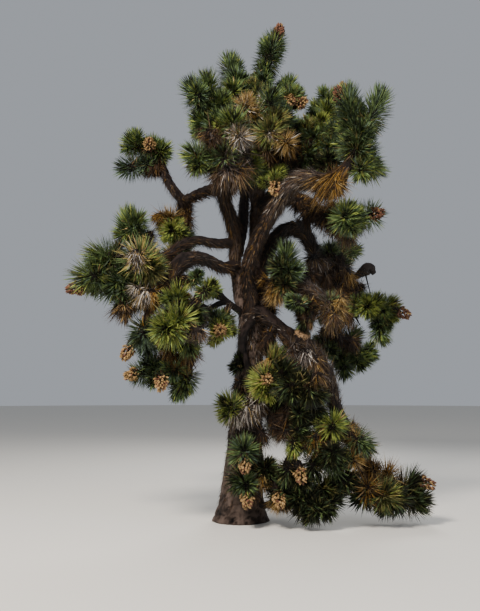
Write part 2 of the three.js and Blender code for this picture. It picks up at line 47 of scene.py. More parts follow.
# root and tip are radii. thatch lists stretches that dead leaves cover: from and to as a share of the limb's
# length, how thick it is (1 hides the bark), its colour, and the length of its leaves in metres.
limbs = {
    "trunk": dict(root=240, tip=128, path=[[0, -80, 0], [10, 300, 0], [55, 850, 10], [95, 1500, 30],
        [125, 2050, 50], [140, 2580, 50]], thatch=[[0.12, 0.45, 0.6, "brown", 0.1],
        [0.4, 0.98, 1.1, "grey", 0.085]]),
    "front_bough": dict(root=84, tip=84, path=[[140, 2450, 0], [135, 2750, -90], [95, 3020, -170],
        [150, 3280, -260], [270, 3570, -380], [400, 3820, -500], [545, 4040, -620], [680, 4200, -720],
        [780, 4255, -770]], thatch=[[0.05, 0.4, 0.6, "dark", 0.08], [0.36, 0.8, 1.1, "brown", 0.075],
        [0.75, 1, 1.2, "grey", 0.13]]),
    "corner_bough": dict(root=80, tip=56, path=[[780, 4255, -770], [930, 4275, -860], [1080, 4255, -920],
        [1250, 4330, -960], [1390, 4440, -980]], thatch=[[0, 0.6, 1.8, "grey", 0.13],
        [0.45, 0.75, 1.2, "brown", 0.2], [0.5, 1, 2.3, "golden", 0.33], [0.5, 1, 1, "brown", 0.16]]),
    "prop_bough": dict(root=78, tip=68, path=[[140, 2480, -20], [230, 2550, -90], [340, 2480, -150],
        [450, 2390, -210], [570, 2305, -270], [710, 2225, -340], [860, 2110, -400], [970, 1970, -430],
        [1050, 1830, -440]], thatch=[[0, 0.75, 0.5, "grey", 0.08], [0.7, 1, 1.7, "grey", 0.13]]),
    "apron_bough": dict(root=66, tip=46, path=[[560, 2310, -265], [640, 2120, -380], [690, 1880, -480],
        [720, 1580, -560], [690, 1290, -600]], thatch=[[0.1, 1, 1.4, "brown", 0.12]]),
    "prop_foot": dict(root=66, tip=70, path=[[1050, 1830, -440], [1105, 1680, -440], [1150, 1480, -430],
        [1220, 1270, -420], [1340, 1050, -400], [1480, 820, -380], [1580, 560, -350], [1640, 330, -330]],
        thatch=[[0, 0.3, 1.5, "grey", 0.13], [0.3, 0.5, 0.8, "tan", 0.09], [0.5, 1, 1.2, "tan", 0.15]]),
    "crown_bough": dict(root=98, tip=48, path=[[130, 2480, 120], [140, 2950, 220], [200, 3400, 270],
        [208, 3800, 300], [250, 4130, 320], [350, 4500, 330], [390, 4850, 330], [330, 5180, 320],
        [290, 5450, 300]], thatch=[[0.12, 0.4, 0.6, "dark", 0.1], [0.4, 1, 1.1, "brown", 0.12]]),
    "centre_bough": dict(root=78, tip=66, path=[[100, 2480, 60], [5, 2720, 80], [-20, 2930, 80],
        [-65, 3160, 60], [-55, 3400, 20], [-75, 3620, -20]], thatch=[[0.05, 0.5, 0.3, "dark", 0.085],
        [0.7, 1, 1, "brown", 0.11]]),
    "left_crown_bough": dict(root=66, tip=60, path=[[-75, 3620, -20], [-130, 3800, -90], [-210, 4030, -190],
        [-235, 4230, -280], [-215, 4420, -350]], thatch=[[0, 1, 1.5, "brown", 0.14]]),
    "left_upper_bough": dict(root=62, tip=48, path=[[-225, 4135, -240], [-400, 4120, -80], [-550, 4065, 60],
        [-710, 3995, 200], [-820, 4085, 290], [-900, 4200, 360], [-960, 4330, 420], [-1010, 4450, 460]],
        thatch=[[0.05, 0.55, 0.9, "brown", 0.11], [0.6, 1, 0.8, "brown", 0.1]]),
    "left_drop_bough": dict(root=56, tip=44, path=[[-720, 4000, 205], [-735, 3800, 270], [-725, 3620, 330],
        [-740, 3500, 400]], thatch=[[0, 1, 1.4, "dark", 0.13]]),
    "left_middle_bough": dict(root=52, tip=46, path=[[-60, 3430, 20], [-220, 3425, -60], [-380, 3440, -160],
        [-520, 3470, -260], [-660, 3440, -360], [-800, 3360, -440], [-930, 3270, -520], [-1060, 3220, -620]],
        thatch=[[0.15, 0.6, 0.7, "dark", 0.085], [0.6, 1, 1, "dark", 0.11]]),
    "left_lower_bough": dict(root=60, tip=70, path=[[-60, 3130, 50], [-220, 3120, -120], [-370, 3190, -300],
        [-520, 3240, -460], [-680, 3225, -620]], thatch=[[0.1, 0.85, 0.8, "dark", 0.1],
        [0.85, 1, 1, "dark", 0.1]]),
    "left_hanging_bough": dict(root=70, tip=48, path=[[-680, 3225, -620], [-800, 3120, -720],
        [-860, 2950, -790], [-870, 2750, -830], [-830, 2500, -820], [-740, 2250, -780], [-650, 2030, -720],
        [-640, 1870, -680]], thatch=[[0, 0.2, 0.9, "dark", 0.11], [0.2, 1, 1.3, "dark", 0.13]]),
    "inner_bough": dict(root=62, tip=48, path=[[-45, 3280, 70], [25, 3600, 180], [50, 3900, 320],
        [55, 4200, 460], [20, 4500, 600], [-10, 4750, 700]], thatch=[[0.2, 1, 0.9, "brown", 0.085]]),
    "arch_bough": dict(root=80, tip=84, path=[[180, 2450, 110], [245, 2850, 210], [292, 3130, 290],
        [390, 3400, 380], [530, 3575, 470], [690, 3640, 560]], thatch=[[0.15, 0.5, 0.6, "dark", 0.09],
        [0.5, 1, 1.1, "dark", 0.12]]),
    "droop_bough": dict(root=84, tip=50, path=[[690, 3640, 560], [820, 3560, 610], [920, 3370, 650],
        [1010, 3180, 670], [1100, 2960, 680], [1180, 2720, 670], [1210, 2480, 640], [1180, 2250, 600]],
        thatch=[[0, 0.35, 1.2, "dark", 0.12], [0.35, 1, 1.4, "brown", 0.15]]),
    "slant_bough": dict(root=68, tip=54, path=[[190, 2520, 60], [330, 2690, -20], [520, 2840, -120],
        [700, 2900, -220], [850, 2860, -310], [980, 2770, -400], [1090, 2680, -470], [1150, 2560, -520]],
        thatch=[[0.15, 0.4, 0.9, "brown", 0.1], [0.4, 1, 1.6, "grey", 0.11]]),
    "right_tip_bough": dict(root=48, tip=40, path=[[1180, 2740, 670], [1330, 2725, 620], [1500, 2665, 560],
        [1680, 2585, 500]], thatch=[[0, 1, 1, "grey", 0.085]]),
    "shade_bough": dict(root=74, tip=60, path=[[260, 3900, 310], [440, 4010, 250], [610, 4030, 150],
        [780, 3990, 40], [930, 3900, -60], [1050, 3790, -150], [1170, 3710, -230]],
        thatch=[[0.1, 1, 1.6, "dark", 0.17]]),
    "right_crown_bough": dict(root=58, tip=44, path=[[330, 4380, 325], [520, 4570, 430], [700, 4790, 540],
        [850, 4960, 620]], thatch=[[0, 1, 1.1, "brown", 0.11]]),
    "dead_stub": dict(root=40, tip=24, path=[[1100, 2960, 680], [1280, 2965, 640], [1430, 2990, 600],
        [1560, 3065, 570], [1640, 3110, 550], [1695, 3040, 540]], thatch=[[0, 0.4, 1, "dark", 0.12],
        [0.6, 0.97, 1, "grey", 0.045]]),
    "back_bough": dict(root=70, tip=50, path=[[200, 3150, 240], [212, 3550, 640], [200, 3950, 1020],
        [80, 4350, 1330]], thatch=[[0.15, 1, 0.9, "brown", 0.085]]),
}

# on and at say which limb the stem leaves and how far along it, to is the middle of the first head and
# aim the way it faces, girth the stem's radius, column the length of twig under live leaves and leaf
# their length. Each of the sides is one more head: its clock angle from the first and how far off it is.
# kinds gives what each bears: g green, u green and upright, p pale with a beard, d dead, h dead and
# hanging, f green with pods. tones are their colours, skirt that of the dead leaves below them, and part
# says which pieces the mass is joined into.
masses = {
    "front_trunk_heads": dict(on="trunk", at=0.6, to=[335, 1690, -560], aim=[0.05, 0.1, -1], girth=42,
        column=120, leaf=235, sides=[[14, 330], [64, 250]], kinds="fhg", tones="bright straw dusk",
        skirt="brown", part="low"),
    "left_trunk_heads": dict(on="trunk", at=0.48, to=[-160, 1400, -420], aim=[-0.6, 0.35, -0.8], girth=38,
        column=130, leaf=210, sides=[[110, 330]], kinds="gh", tones="fresh grey", skirt="grey", part="low"),
    "foot_heads": dict(on="trunk", at=0.27, to=[50, 860, -560], aim=[0, 0.5, -1], girth=40, column=120,
        leaf=215, sides=[[186, 420], [134, 480]], kinds="ggg", tones="deep dusk dusk", skirt="brown",
        part="low"),
    "apron_top_heads": dict(on="apron_bough", at=0.62, to=[880, 1500, -800], aim=[0, -1, -0.35], girth=38,
        column=260, leaf=215, sides=[[285, 330], [30, 300]], kinds="ggh", tones="dusk dusk tan",
        skirt="brown", part="low"),
    "apron_heads": dict(on="apron_bough", at=1, to=[660, 800, -700], aim=[0, -1, -0.5], girth=40, column=120,
        leaf=165, sides=[[20, 300], [325, 290], [194, 330]], kinds="gghg", tones="fresh dusk brown dusk",
        skirt="brown", part="low", leaves=[125, 160, 170, 160]),
    "prop_heads": dict(on="prop_foot", at=0.42, to=[1130, 1120, -760], aim=[-0.1, -0.2, -1], girth=40,
        column=110, leaf=205, sides=[[180, 400], [206, 620], [119, 470], [236, 310]], kinds="ggggh",
        tones="fresh dusk dusk deep golden", skirt="straw", part="low"),
    "ground_front_heads": dict(on="trunk", at=0.1, to=[850, 230, -640], aim=[0.1, 0.45, -1], girth=44,
        column=140, leaf=235, sides=[[52, 300], [300, 330]], kinds="ggg", tones="dusk olive dusk",
        skirt="brown", part="low"),
    "ground_right_heads": dict(on="prop_foot", at=1, to=[2110, 450, -300], aim=[0.6, 0.6, -0.5], girth=46,
        column=190, leaf=265, sides=[[262, 520], [291, 330], [172, 260]], kinds="ggdg",
        tones="dusk dusk golden dusk", skirt="straw", part="low", pods="rust"),
    "column_head": dict(on="slant_bough", at=0.36, to=[590, 3330, -380], aim=[0.08, 1, -0.05], girth=42,
        column=480, leaf=220, sides=[], kinds="g", tones="deep", skirt="golden", part="right"),
    "slant_heads": dict(on="slant_bough", at=0.78, to=[860, 2400, -520], aim=[-0.1, -1, -0.3], girth=38,
        column=120, leaf=170, sides=[[52, 420], [320, 330]], kinds="hgg", tones="brown deep deep",
        skirt="brown", part="right", leaves=[150, 165, 120]),
    "right_tip_heads": dict(on="right_tip_bough", at=1, to=[1900, 2640, 380], aim=[0.8, 0.35, -0.4], girth=38,
        column=150, leaf=195, sides=[[197, 430], [276, 320]], kinds="ggg", tones="fresh green deep",
        skirt="brown", part="right", pods="rust"),
    "right_low_heads": dict(on="droop_bough", at=1, to=[1540, 1960, 480], aim=[0.85, -0.25, -0.35], girth=42,
        column=190, leaf=205, sides=[[262, 280], [340, 330]], kinds="ggg", tones="green deep deep",
        skirt="straw", part="right"),
    "right_middle_heads": dict(on="droop_bough", at=0.52, to=[1320, 3170, 620], aim=[0.5, 0.8, -0.3],
        girth=36, column=110, leaf=165, sides=[[162, 330], [245, 330]], kinds="ghh", tones="green dark dark",
        skirt="brown", part="right"),
    "right_face_heads": dict(on="shade_bough", at=1, to=[1370, 3820, -480], aim=[0.1, 0.15, -1], girth=44,
        column=120, leaf=225, sides=[[94, 330], [176, 300]], kinds="gfh", tones="fresh green tan",
        skirt="straw", part="right", pods="rust"),
    "corner_heads": dict(on="corner_bough", at=1, to=[1560, 5000, -900], aim=[0.1, 1, -0.1], girth=46,
        column=440, leaf=240, sides=[[36, 430], [338, 430], [165, 620]], kinds="gggg",
        tones="deep deep deep green", skirt="tan", part="right", pods="rust"),
    "right_crown_heads": dict(on="right_crown_bough", at=1, to=[1230, 5380, 560], aim=[0.6, 0.8, -0.2],
        girth=38, column=220, leaf=190, sides=[[232, 300], [200, 370]], kinds="ggg",
        tones="green green fresh", skirt="grey", part="crown"),
    "right_inner_heads": dict(on="right_crown_bough", at=0.42, to=[1150, 4760, 250], aim=[0.7, 0.35, -0.5],
        girth=40, column=200, leaf=215, sides=[[236, 360], [264, 470]], kinds="pgh",
        tones="olive deep golden", skirt="brown", part="crown"),
    "spire_head": dict(on="crown_bough", at=1, to=[465, 6150, 250], aim=[0.32, 1, 0], girth=40, column=470,
        leaf=215, sides=[], kinds="f", tones="deep", skirt="grey", part="crown", pods="rust"),
    "top_right_heads": dict(on="crown_bough", at=0.92, to=[640, 5560, 350], aim=[0.1, 1, -0.1], girth=38,
        column=120, leaf=175, sides=[[233, 300], [150, 260]], kinds="ggg", tones="green deep green",
        skirt="grey", part="crown"),
    "top_left_heads": dict(on="inner_bough", at=1, to=[-130, 5840, 450], aim=[-0.1, 1, 0], girth=42,
        column=210, leaf=215, sides=[[152, 320], [124, 470]], kinds="ggg", tones="deep deep olive",
        skirt="grey", part="crown"),
    "crown_centre_heads": dict(on="crown_bough", at=0.8, to=[450, 5040, -250], aim=[0.6, 0.1, -0.8], girth=40,
        column=130, leaf=235, sides=[[298, 300], [218, 320], [352, 330]], kinds="gdhg",
        tones="olive sunny brown deep", skirt="golden", part="crown"),
    "crown_left_heads": dict(on="left_crown_bough", at=1, to=[-330, 5270, -400], aim=[-0.1, 0.55, -0.8],
        girth=48, column=230, leaf=240, sides=[[307, 370], [342, 320]], kinds="pgg", tones="green deep green",
        skirt="grey", part="crown"),
    "crown_face_heads": dict(on="left_crown_bough", at=0.86, to=[-200, 4580, -800], aim=[-0.1, 0.1, -1],
        girth=46, column=120, leaf=225, sides=[[273, 410], [46, 330], [14, 500], [328, 400]], kinds="gghgh",
        tones="deep green grey green brown", skirt="grey", part="crown"),
    "inner_heads": dict(on="crown_bough", at=0.58, to=[230, 4390, -150], aim=[-0.1, 0.25, -1], girth=36,
        column=100, leaf=165, sides=[[104, 250], [32, 330]], kinds="ggh", tones="fresh fresh golden",
        skirt="brown", part="crown"),
    "left_top_heads": dict(on="left_upper_bough", at=1, to=[-1150, 4710, 420], aim=[-0.1, 0.55, -0.8],
        girth=44, column=150, leaf=215, sides=[[284, 260], [228, 450], [186, 330]], kinds="gggh",
        tones="green green blue brown", skirt="brown", part="left"),
    "left_inner_heads": dict(on="left_drop_bough", at=0.7, to=[-900, 3610, 80], aim=[-0.1, -0.15, -1],
        girth=38, column=100, leaf=190, sides=[[323, 240], [122, 250]], kinds="ghg",
        tones="fresh golden deep", skirt="straw", part="left"),
    "far_left_upright_head": dict(on="left_middle_bough", at=0.93, to=[-1370, 3640, -500],
        aim=[-0.05, 1, -0.05], girth=40, column=250, leaf=250, sides=[[106, 250]], kinds="uh",
        tones="green grey", skirt="grey", part="left", leaves=[275, 170]),
    "far_left_heads": dict(on="left_middle_bough", at=1, to=[-1290, 3220, -960], aim=[0.15, -0.1, -1],
        girth=48, column=130, leaf=285, sides=[[275, 500], [250, 690], [222, 470]], kinds="pggg",
        tones="pale green green deep", skirt="grey", part="left", pods="rust"),
    "left_pale_heads": dict(on="left_hanging_bough", at=0.3, to=[-1220, 2750, -900], aim=[-0.2, 0, -1],
        girth=42, column=110, leaf=215, sides=[[245, 390], [182, 520], [306, 310]], kinds="hhgg",
        tones="bleached tan blue deep", skirt="straw", part="left"),
    "left_bright_heads": dict(on="left_hanging_bough", at=0.5, to=[-870, 2330, -1150], aim=[-0.05, -0.1, -1],
        girth=44, column=130, leaf=270, sides=[[12, 480], [42, 760], [98, 400]], kinds="gggh",
        tones="fresh fresh fresh grey", skirt="straw", part="left", leaves=[265, 180, 125, 170]),
    "left_bottom_heads": dict(on="left_hanging_bough", at=1, to=[-680, 1650, -760], aim=[0.05, -0.5, -0.9],
        girth=42, column=130, leaf=195, sides=[[302, 350], [282, 620], [340, 390]], kinds="ggfh",
        tones="green deep deep golden", skirt="straw", part="left"),
    "trunk_side_heads": dict(on="trunk", at=0.95, to=[-370, 2880, -330], aim=[-0.1, 0.2, -1], girth=42,
        column=100, leaf=165, sides=[[164, 540], [212, 640]], kinds="gfh", tones="fresh fresh grey",
        skirt="grey", part="left", leaves=[115, 160, 170]),
    "back_left_heads": dict(on="back_bough", at=1, to=[-120, 4930, 1500], aim=[-0.2, 0.9, 0.5], girth=46,
        column=240, leaf=240, sides=[[286, 420], [80, 420], [200, 520]], kinds="gggh",
        tones="green deep green brown", skirt="straw", part="back", fill=1),
    "back_right_heads": dict(on="back_bough", at=0.62, to=[850, 4560, 1450], aim=[0.5, 0.5, 0.7], girth=48,
        column=220, leaf=240, sides=[[60, 420], [310, 380]], kinds="gfg", tones="green olive green",
        skirt="golden", part="back", fill=1),
    "back_low_heads": dict(on="trunk", at=0.6, to=[760, 1500, 900], aim=[0.3, 0.5, 0.8], girth=46, column=180,
        leaf=240, sides=[[215, 400], [20, 330]], kinds="ggf", tones="fresh green fresh", skirt="straw",
        part="back", fill=1),
    "left_back_heads": dict(on="left_drop_bough", at=1, to=[-950, 2950, 1000], aim=[-0.5, 0.3, 0.8], girth=46,
        column=180, leaf=240, sides=[[230, 400], [20, 330]], kinds="ggg", tones="green green olive",
        skirt="grey", part="back", fill=1),
    "right_back_heads": dict(on="droop_bough", at=0.36, to=[1210, 2990, 1300], aim=[0.5, 0.4, 0.8], girth=48,
        column=200, leaf=240, sides=[[20, 400], [160, 420]], kinds="ggf", tones="olive green green",
        skirt="straw", part="back", fill=1),
}

# More heads of each mass, which the frame has no room for, each on a twig of its own from the nearest wood. A
# line gives the head's middle, the way it faces, the length of its leaves, its column, its kind (as above, or c
# for pods with few leaves) and its tone.
moreHeads = {
    "front_trunk_heads": """
    560 1740 -520 0.1 -0.2 -1 190 110 g dusk
    470 1460 -480 -0.1 -0.4 -1 190 110 g dusk
    420 1960 -480 0 0.9 -0.6 230 90 u pale
    640 2040 -520 0.2 -0.3 -1 190 100 h grey
    820 1980 -560 0.2 -0.6 -0.8 210 100 h silver
    420 1250 -420 0.1 -0.6 -0.8 220 110 h dark
    330 2170 -330 0 -0.2 -1 170 90 h dark
    340 2080 -40 0 -0.8 -0.5 200 110 h dark
    290 2270 -30 0 -0.8 -0.5 160 90 h dark
    560 1900 -480 0.1 0 -1 170 110 g olive
    230 1380 -420 0.2 -0.3 -0.9 200 90 h silver""",
    "left_trunk_heads": """
    90 1330 -460 0.1 -0.6 -0.9 220 90 h silver
    -90 1270 -420 -0.2 -0.7 -0.8 210 90 h silver
    -40 1620 -240 -0.6 -0.3 -0.7 150 90 h dark
    -60 1850 -120 -0.8 -0.2 -0.5 125 80 g dusk""",
    "foot_heads": """
    60 700 -560 0 -0.8 -0.7 90 40 c tan
    85 290 -600 0 -0.8 -0.7 90 40 c tan
    75 420 -620 0 0.2 -1 170 100 g deep
    520 340 -600 0.4 0 -1 180 110 g dusk
    470 300 -640 0.1 -0.8 -0.6 100 40 c tan
    330 640 -480 0.3 0.2 -1 170 100 g dusk
    290 1000 -420 0.4 -0.4 -0.8 200 80 h dark
    300 480 -480 0.3 0 -0.9 200 90 h straw
    150 300 -560 0 0 -1 170 90 h brown""",
    "apron_top_heads": """
    660 1380 -640 -0.1 -0.3 -1 190 90 h brown
    920 1900 -600 0 -0.5 -0.8 230 110 h tan
    790 1640 -700 0 -0.6 -0.8 180 110 g dusk
    980 1280 -680 0.2 -0.8 -0.5 180 120 g dusk""",
    "apron_heads": """
    735 590 -720 0.1 -0.8 -0.7 100 40 c tan
    560 1240 -600 -0.1 -0.3 -1 210 110 h brown
    760 1230 -680 0.1 -0.5 -0.9 180 100 g dusk
    880 890 -720 0.2 0 -1 130 90 g green
    420 1120 -560 -0.3 -0.5 -0.8 200 100 h dark
    760 420 -660 0.2 -0.4 -0.9 170 110 g dusk""",
    "prop_heads": """
    1340 1080 -620 0.2 0.2 -1 210 110 h straw
    1390 740 -700 0.3 0.3 -0.9 180 100 d straw
    1180 640 -720 -0.2 0.5 -0.8 190 110 g deep
    1000 780 -640 -0.2 0 -1 180 100 g dusk
    1270 480 -640 0.1 0.2 -1 190 110 g dusk
    1460 1060 -500 0.4 0.3 -0.8 190 100 h tan
    1010 1000 -640 0 -0.3 -1 190 100 h brown
    1600 900 -480 0.6 0.2 -0.7 170 100 h straw""",
    "ground_front_heads": """
    950 150 -680 -0.3 0.7 -0.7 200 130 g dusk
    690 300 -640 -0.3 0.5 -0.8 190 120 g dusk
    1150 260 -600 0.4 0.6 -0.7 200 120 g dusk
    480 230 -560 -0.2 0.3 -0.9 180 90 h straw""",
    "ground_right_heads": """
    2230 450 -330 0.8 -0.2 -0.5 100 40 c tan
    1560 400 -600 -0.1 0.3 -0.9 240 120 d golden
    1760 320 -540 0.2 0.6 -0.8 240 120 g olive
    1900 250 -480 0.2 0.5 -0.9 230 120 g dusk
    1480 300 -520 -0.3 0.5 -0.8 210 110 g dusk
    2200 250 -350 0.7 0.3 -0.6 210 120 g dusk
    1640 640 -480 0 0.6 -0.7 170 90 d golden""",
    "column_head": """
    500 3120 -430 -0.5 0.2 -0.9 185 110 g dusk
    670 3080 -430 0.5 0.2 -0.9 185 110 g deep
    560 2900 -400 0 -0.1 -1 190 110 g dusk
    480 2780 -330 -0.2 -0.7 -0.7 240 110 h straw
    620 2830 -330 0.2 -0.7 -0.6 210 100 h brown
    400 2860 -330 -0.4 -0.6 -0.6 200 90 h golden""",
    "slant_heads": """
    870 2700 -440 0.1 -0.7 -0.7 200 110 h brown
    1150 2440 -540 0.1 -1 -0.2 230 110 h tan
    900 3080 -200 0 0.4 -0.9 190 110 h dark
    1260 2560 -520 0.3 -0.9 -0.3 220 110 h straw
    830 2560 -480 0 -0.7 -0.7 160 100 g dusk
    300 2700 60 0.3 0.1 -0.8 170 100 h brown
    420 2580 80 0.5 -0.2 -0.7 170 100 h dark
    800 2380 -470 0 -0.8 -0.6 140 90 g dusk
    790 2480 -440 0 -1 -0.3 160 90 h brown""",
    "right_tip_heads": """
    2000 2560 330 0.8 -0.5 -0.4 110 40 c brown
    1720 2680 300 0.3 0.6 -0.8 170 110 g fresh
    1600 2620 240 0 0.1 -1 190 110 g fresh
    1450 2640 320 -0.1 0.3 -1 165 90 g green
    1830 2480 360 0.3 -0.8 -0.5 160 100 g green
    1740 2380 400 0 -0.5 -0.8 150 90 g deep""",
    "right_low_heads": """
    1300 1800 380 -0.2 -0.8 -0.5 180 120 g deep
    1400 2170 300 0.2 -0.2 -1 220 110 h brown
    1130 2280 380 -0.3 -0.5 -0.8 220 110 h brown
    1240 2220 250 0 -0.3 -1 210 110 h dark
    1640 2010 440 0.8 0.1 -0.5 150 110 g green
    1040 2190 320 -0.2 -0.5 -0.9 200 110 h tan
    1020 2080 340 -0.3 -0.4 -0.9 190 110 g deep""",
    "right_middle_heads": """
    1150 3340 400 0 0.5 -0.9 170 100 g deep
    1060 3200 300 -0.3 -0.5 -0.8 240 110 h grey
    1260 3140 350 0.1 -0.4 -0.9 210 110 h dark
    920 3200 150 -0.3 -0.6 -0.8 230 110 h grey
    1390 3020 380 0.3 -0.6 -0.6 250 110 h golden
    1330 2680 400 0.2 -0.8 -0.5 260 110 h brown
    1090 3010 350 -0.1 -0.4 -0.9 220 110 h brown
    1220 2820 350 0 -0.6 -0.8 230 110 h brown
    1130 2560 350 -0.3 -0.7 -0.6 240 110 h silver
    1380 2480 350 0.4 -0.6 -0.6 220 110 h brown
    1240 2480 330 0 -0.6 -0.8 220 110 h brown
    1500 2790 380 0.6 -0.3 -0.6 200 100 h tan""",
    "right_face_heads": """
    1500 3700 -440 0 -0.7 -0.7 240 110 h tan
    1250 3700 -400 -0.1 -0.7 -0.7 240 110 h grey
    1100 3800 -380 -0.2 -0.3 -1 230 110 h dark
    950 3900 -330 -0.1 0.1 -1 220 110 h dark
    850 3830 -240 -0.2 -0.6 -0.8 210 110 h dark
    1210 3600 -250 0 -0.8 -0.5 220 110 h dark
    1190 3950 -380 0.1 0.3 -0.9 200 100 h brown
    730 3960 -180 -0.3 -0.3 -0.9 190 100 h dark
    1380 3560 -400 0.1 -0.7 -0.7 200 100 h straw
    1350 3800 -900 0 0.1 -1 205 110 g green
    1480 3760 -760 0.4 0 -1 190 110 g green""",
    "corner_heads": """
    1460 4720 -980 -0.7 0.3 -0.7 215 110 g deep
    1600 4620 -960 0.7 0.2 -0.7 205 110 g deep
    1530 4900 -1000 0.1 0.4 -1 200 110 g deep
    1310 5330 -860 -0.3 0.7 -0.6 140 60 c brown
    1480 5180 -900 -0.1 0.7 -0.7 190 110 g deep
    1400 4950 -900 -0.6 0.3 -0.7 190 110 g deep
    1340 4760 -800 -0.7 0.2 -0.7 180 110 g deep
    1560 4400 -980 0.2 0 -1 200 110 g green
    1060 4170 -880 -0.2 -1 -0.2 230 110 h brown
    1190 4190 -920 -0.1 -1 -0.2 280 110 h golden""",
    "right_crown_heads": """
    1140 5220 300 0 0.3 -1 170 110 g fresh
    1280 5420 520 0.5 0.8 -0.3 110 40 c brown
    960 5080 320 -0.4 0.3 -0.9 175 110 g deep""",
    "right_inner_heads": """
    1060 5040 220 -0.1 0.1 -1 165 100 g fresh
    1090 4910 180 0.1 0 -1 150 90 g fresh
    1080 4650 220 0.1 -0.6 -0.8 170 110 g deep
    850 4980 180 -0.2 0.3 -1 180 110 g olive
    720 4960 160 -0.2 0 -1 175 110 g deep
    960 4830 160 0 -0.2 -1 175 110 g deep
    630 4790 -380 0.5 0.3 -0.9 185 100 d sunny
    650 4700 -300 0.4 -0.3 -1 190 100 h golden
    1200 4500 -60 0.2 0 -1 190 110 g dusk
    1080 4440 60 0 -0.3 -1 190 110 g dusk
    1250 4940 60 0.3 0 -1 175 110 g deep
    1240 4700 60 0.3 -0.4 -0.9 175 110 g deep
    820 4650 160 0 -0.4 -0.9 190 110 h dark
    700 4560 160 0 -0.5 -0.9 190 110 h dark""",
    "spire_head": """
    500 6210 200 0.2 1 0 100 40 c brown
    315 5740 250 0.3 1 -0.2 170 160 g deep
    300 5600 180 -0.4 0.4 -0.9 160 110 g deep""",
    "top_right_heads": """
    650 5400 200 0 0.9 -0.5 180 110 g green
    645 5330 200 0.1 -0.6 -0.8 110 40 c brown
    765 5260 220 0.5 0.1 -0.8 100 40 c brown
    520 5230 200 0.2 0.1 -1 165 100 g deep""",
    "top_left_heads": """
    -20 5370 120 -0.1 0.1 -1 205 120 g deep
    250 5400 60 0.1 0.2 -1 180 110 p olive
    -60 5620 260 -0.3 0.5 -0.9 200 120 g deep
    110 5270 180 0.1 -0.3 -1 165 100 h brown
    -100 5450 -20 0 0.1 -1 205 120 g green""",
    "crown_centre_heads": """
    390 4880 -330 0 -0.2 -1 215 110 p olive
    600 5080 -60 0.6 0.2 -0.8 190 120 g deep
    30 5260 -300 -0.4 0.2 -1 200 110 d sunny
    560 4900 -100 0.4 -0.4 -0.8 180 100 g deep
    240 4980 -140 -0.2 -0.3 -1 170 90 g deep""",
    "crown_left_heads": """
    -340 4960 -520 -0.2 0.1 -1 190 110 g deep
    -520 5060 -420 -0.7 0.3 -0.7 190 110 g green
    -210 5080 -480 0.5 0.2 -0.9 170 110 g green
    -470 4900 -480 -0.5 -0.4 -0.8 190 90 h tan
    -290 5340 -420 0 0.8 -0.6 175 110 g green""",
    "crown_face_heads": """
    10 4840 -900 0 0.05 -1 190 110 d bleached
    -165 5010 -760 0 0.3 -1 160 90 g fresh
    -400 4560 -700 -0.4 -0.1 -0.9 190 110 g green
    -340 4800 -620 -0.1 -0.2 -1 180 90 h brown
    -170 4560 -740 0 -0.6 -0.8 270 110 h grey
    -600 4440 -560 -0.5 -0.6 -0.6 200 110 h brown
    20 4570 -560 0.3 -0.5 -0.8 280 110 h grey
    -330 4480 -460 -0.3 -0.5 -0.8 250 110 h brown
    -100 4400 -500 0 -0.5 -0.9 260 110 h brown
    110 4620 -420 0.3 -0.4 -0.9 240 110 h brown
    -190 4350 -440 -0.1 -0.7 -0.7 260 110 h grey
    -60 4330 -330 0.2 -0.7 -0.7 250 110 h tan
    -240 4200 -360 -0.3 -0.7 -0.6 240 110 h brown
    40 4400 -240 0.4 -0.6 -0.7 240 110 h grey
    -130 4130 -260 0.2 -0.8 -0.5 220 110 h brown
    -160 4330 -860 -0.1 -0.6 -0.8 270 110 h grey
    -30 4300 -840 0.1 -0.6 -0.8 270 110 h tan
    -270 4290 -800 -0.3 -0.6 -0.7 250 110 h brown""",
    "inner_heads": """
    450 4180 -640 0 -0.8 -0.6 100 40 c tan
    250 4630 -160 0 0.2 -1 130 80 g green
    450 4280 -600 0.2 0.3 -1 130 80 g fresh
    330 4640 -180 0.1 -0.5 -0.9 240 100 h tan
    130 4480 -460 -0.1 0 -1 165 90 g fresh
    560 4560 -60 0.2 -0.5 -0.8 200 100 h dark""",
    "left_top_heads": """
    -1165 4700 240 0 0.3 -1 130 50 c brown
    -1000 4650 330 0.5 0.2 -0.8 190 110 g green
    -1230 4460 360 -0.4 -0.4 -0.8 165 110 g blue
    -1020 4580 400 0.1 0.2 -0.9 150 90 h tan
    -1120 4420 340 -0.3 -0.6 -0.6 190 100 h brown""",
    "left_inner_heads": """
    -900 3790 60 -0.1 0.7 -0.7 190 90 d straw
    -760 3400 120 0.1 -0.3 -1 120 80 g green
    -1010 3640 120 -0.6 0.1 -0.8 150 90 h grey
    -700 3800 170 0.3 -0.4 -0.9 190 110 h brown
    -960 3760 100 -0.4 0.6 -0.7 170 90 d tan
    -650 3700 200 0.6 -0.3 -0.7 190 110 h brown
    -870 3600 -20 0 0 -1 165 100 g fresh""",
    "far_left_upright_head": """
    -1400 3700 -600 -0.04 1 -0.1 255 240 u green""",
    "far_left_heads": """
    -1790 3120 -760 -0.5 -0.1 -0.9 215 120 g green
    -2030 2860 -640 -0.8 -0.2 -0.5 90 40 c brown
    -1960 2870 -700 -0.3 -0.5 -0.8 90 40 c brown
    -1640 3150 -760 0.1 0.2 -1 205 120 g deep
    -1100 3090 -900 0.6 -0.3 -0.9 230 120 g olive
    -1440 3060 -840 -0.3 -0.4 -0.9 190 100 g deep
    -1335 3330 -1080 -0.1 0.4 -1 190 90 h bleached
    -1560 3420 -640 0 0.3 -0.9 160 90 h brown
    -1330 3260 -1070 -0.1 0 -1 150 70 h grey""",
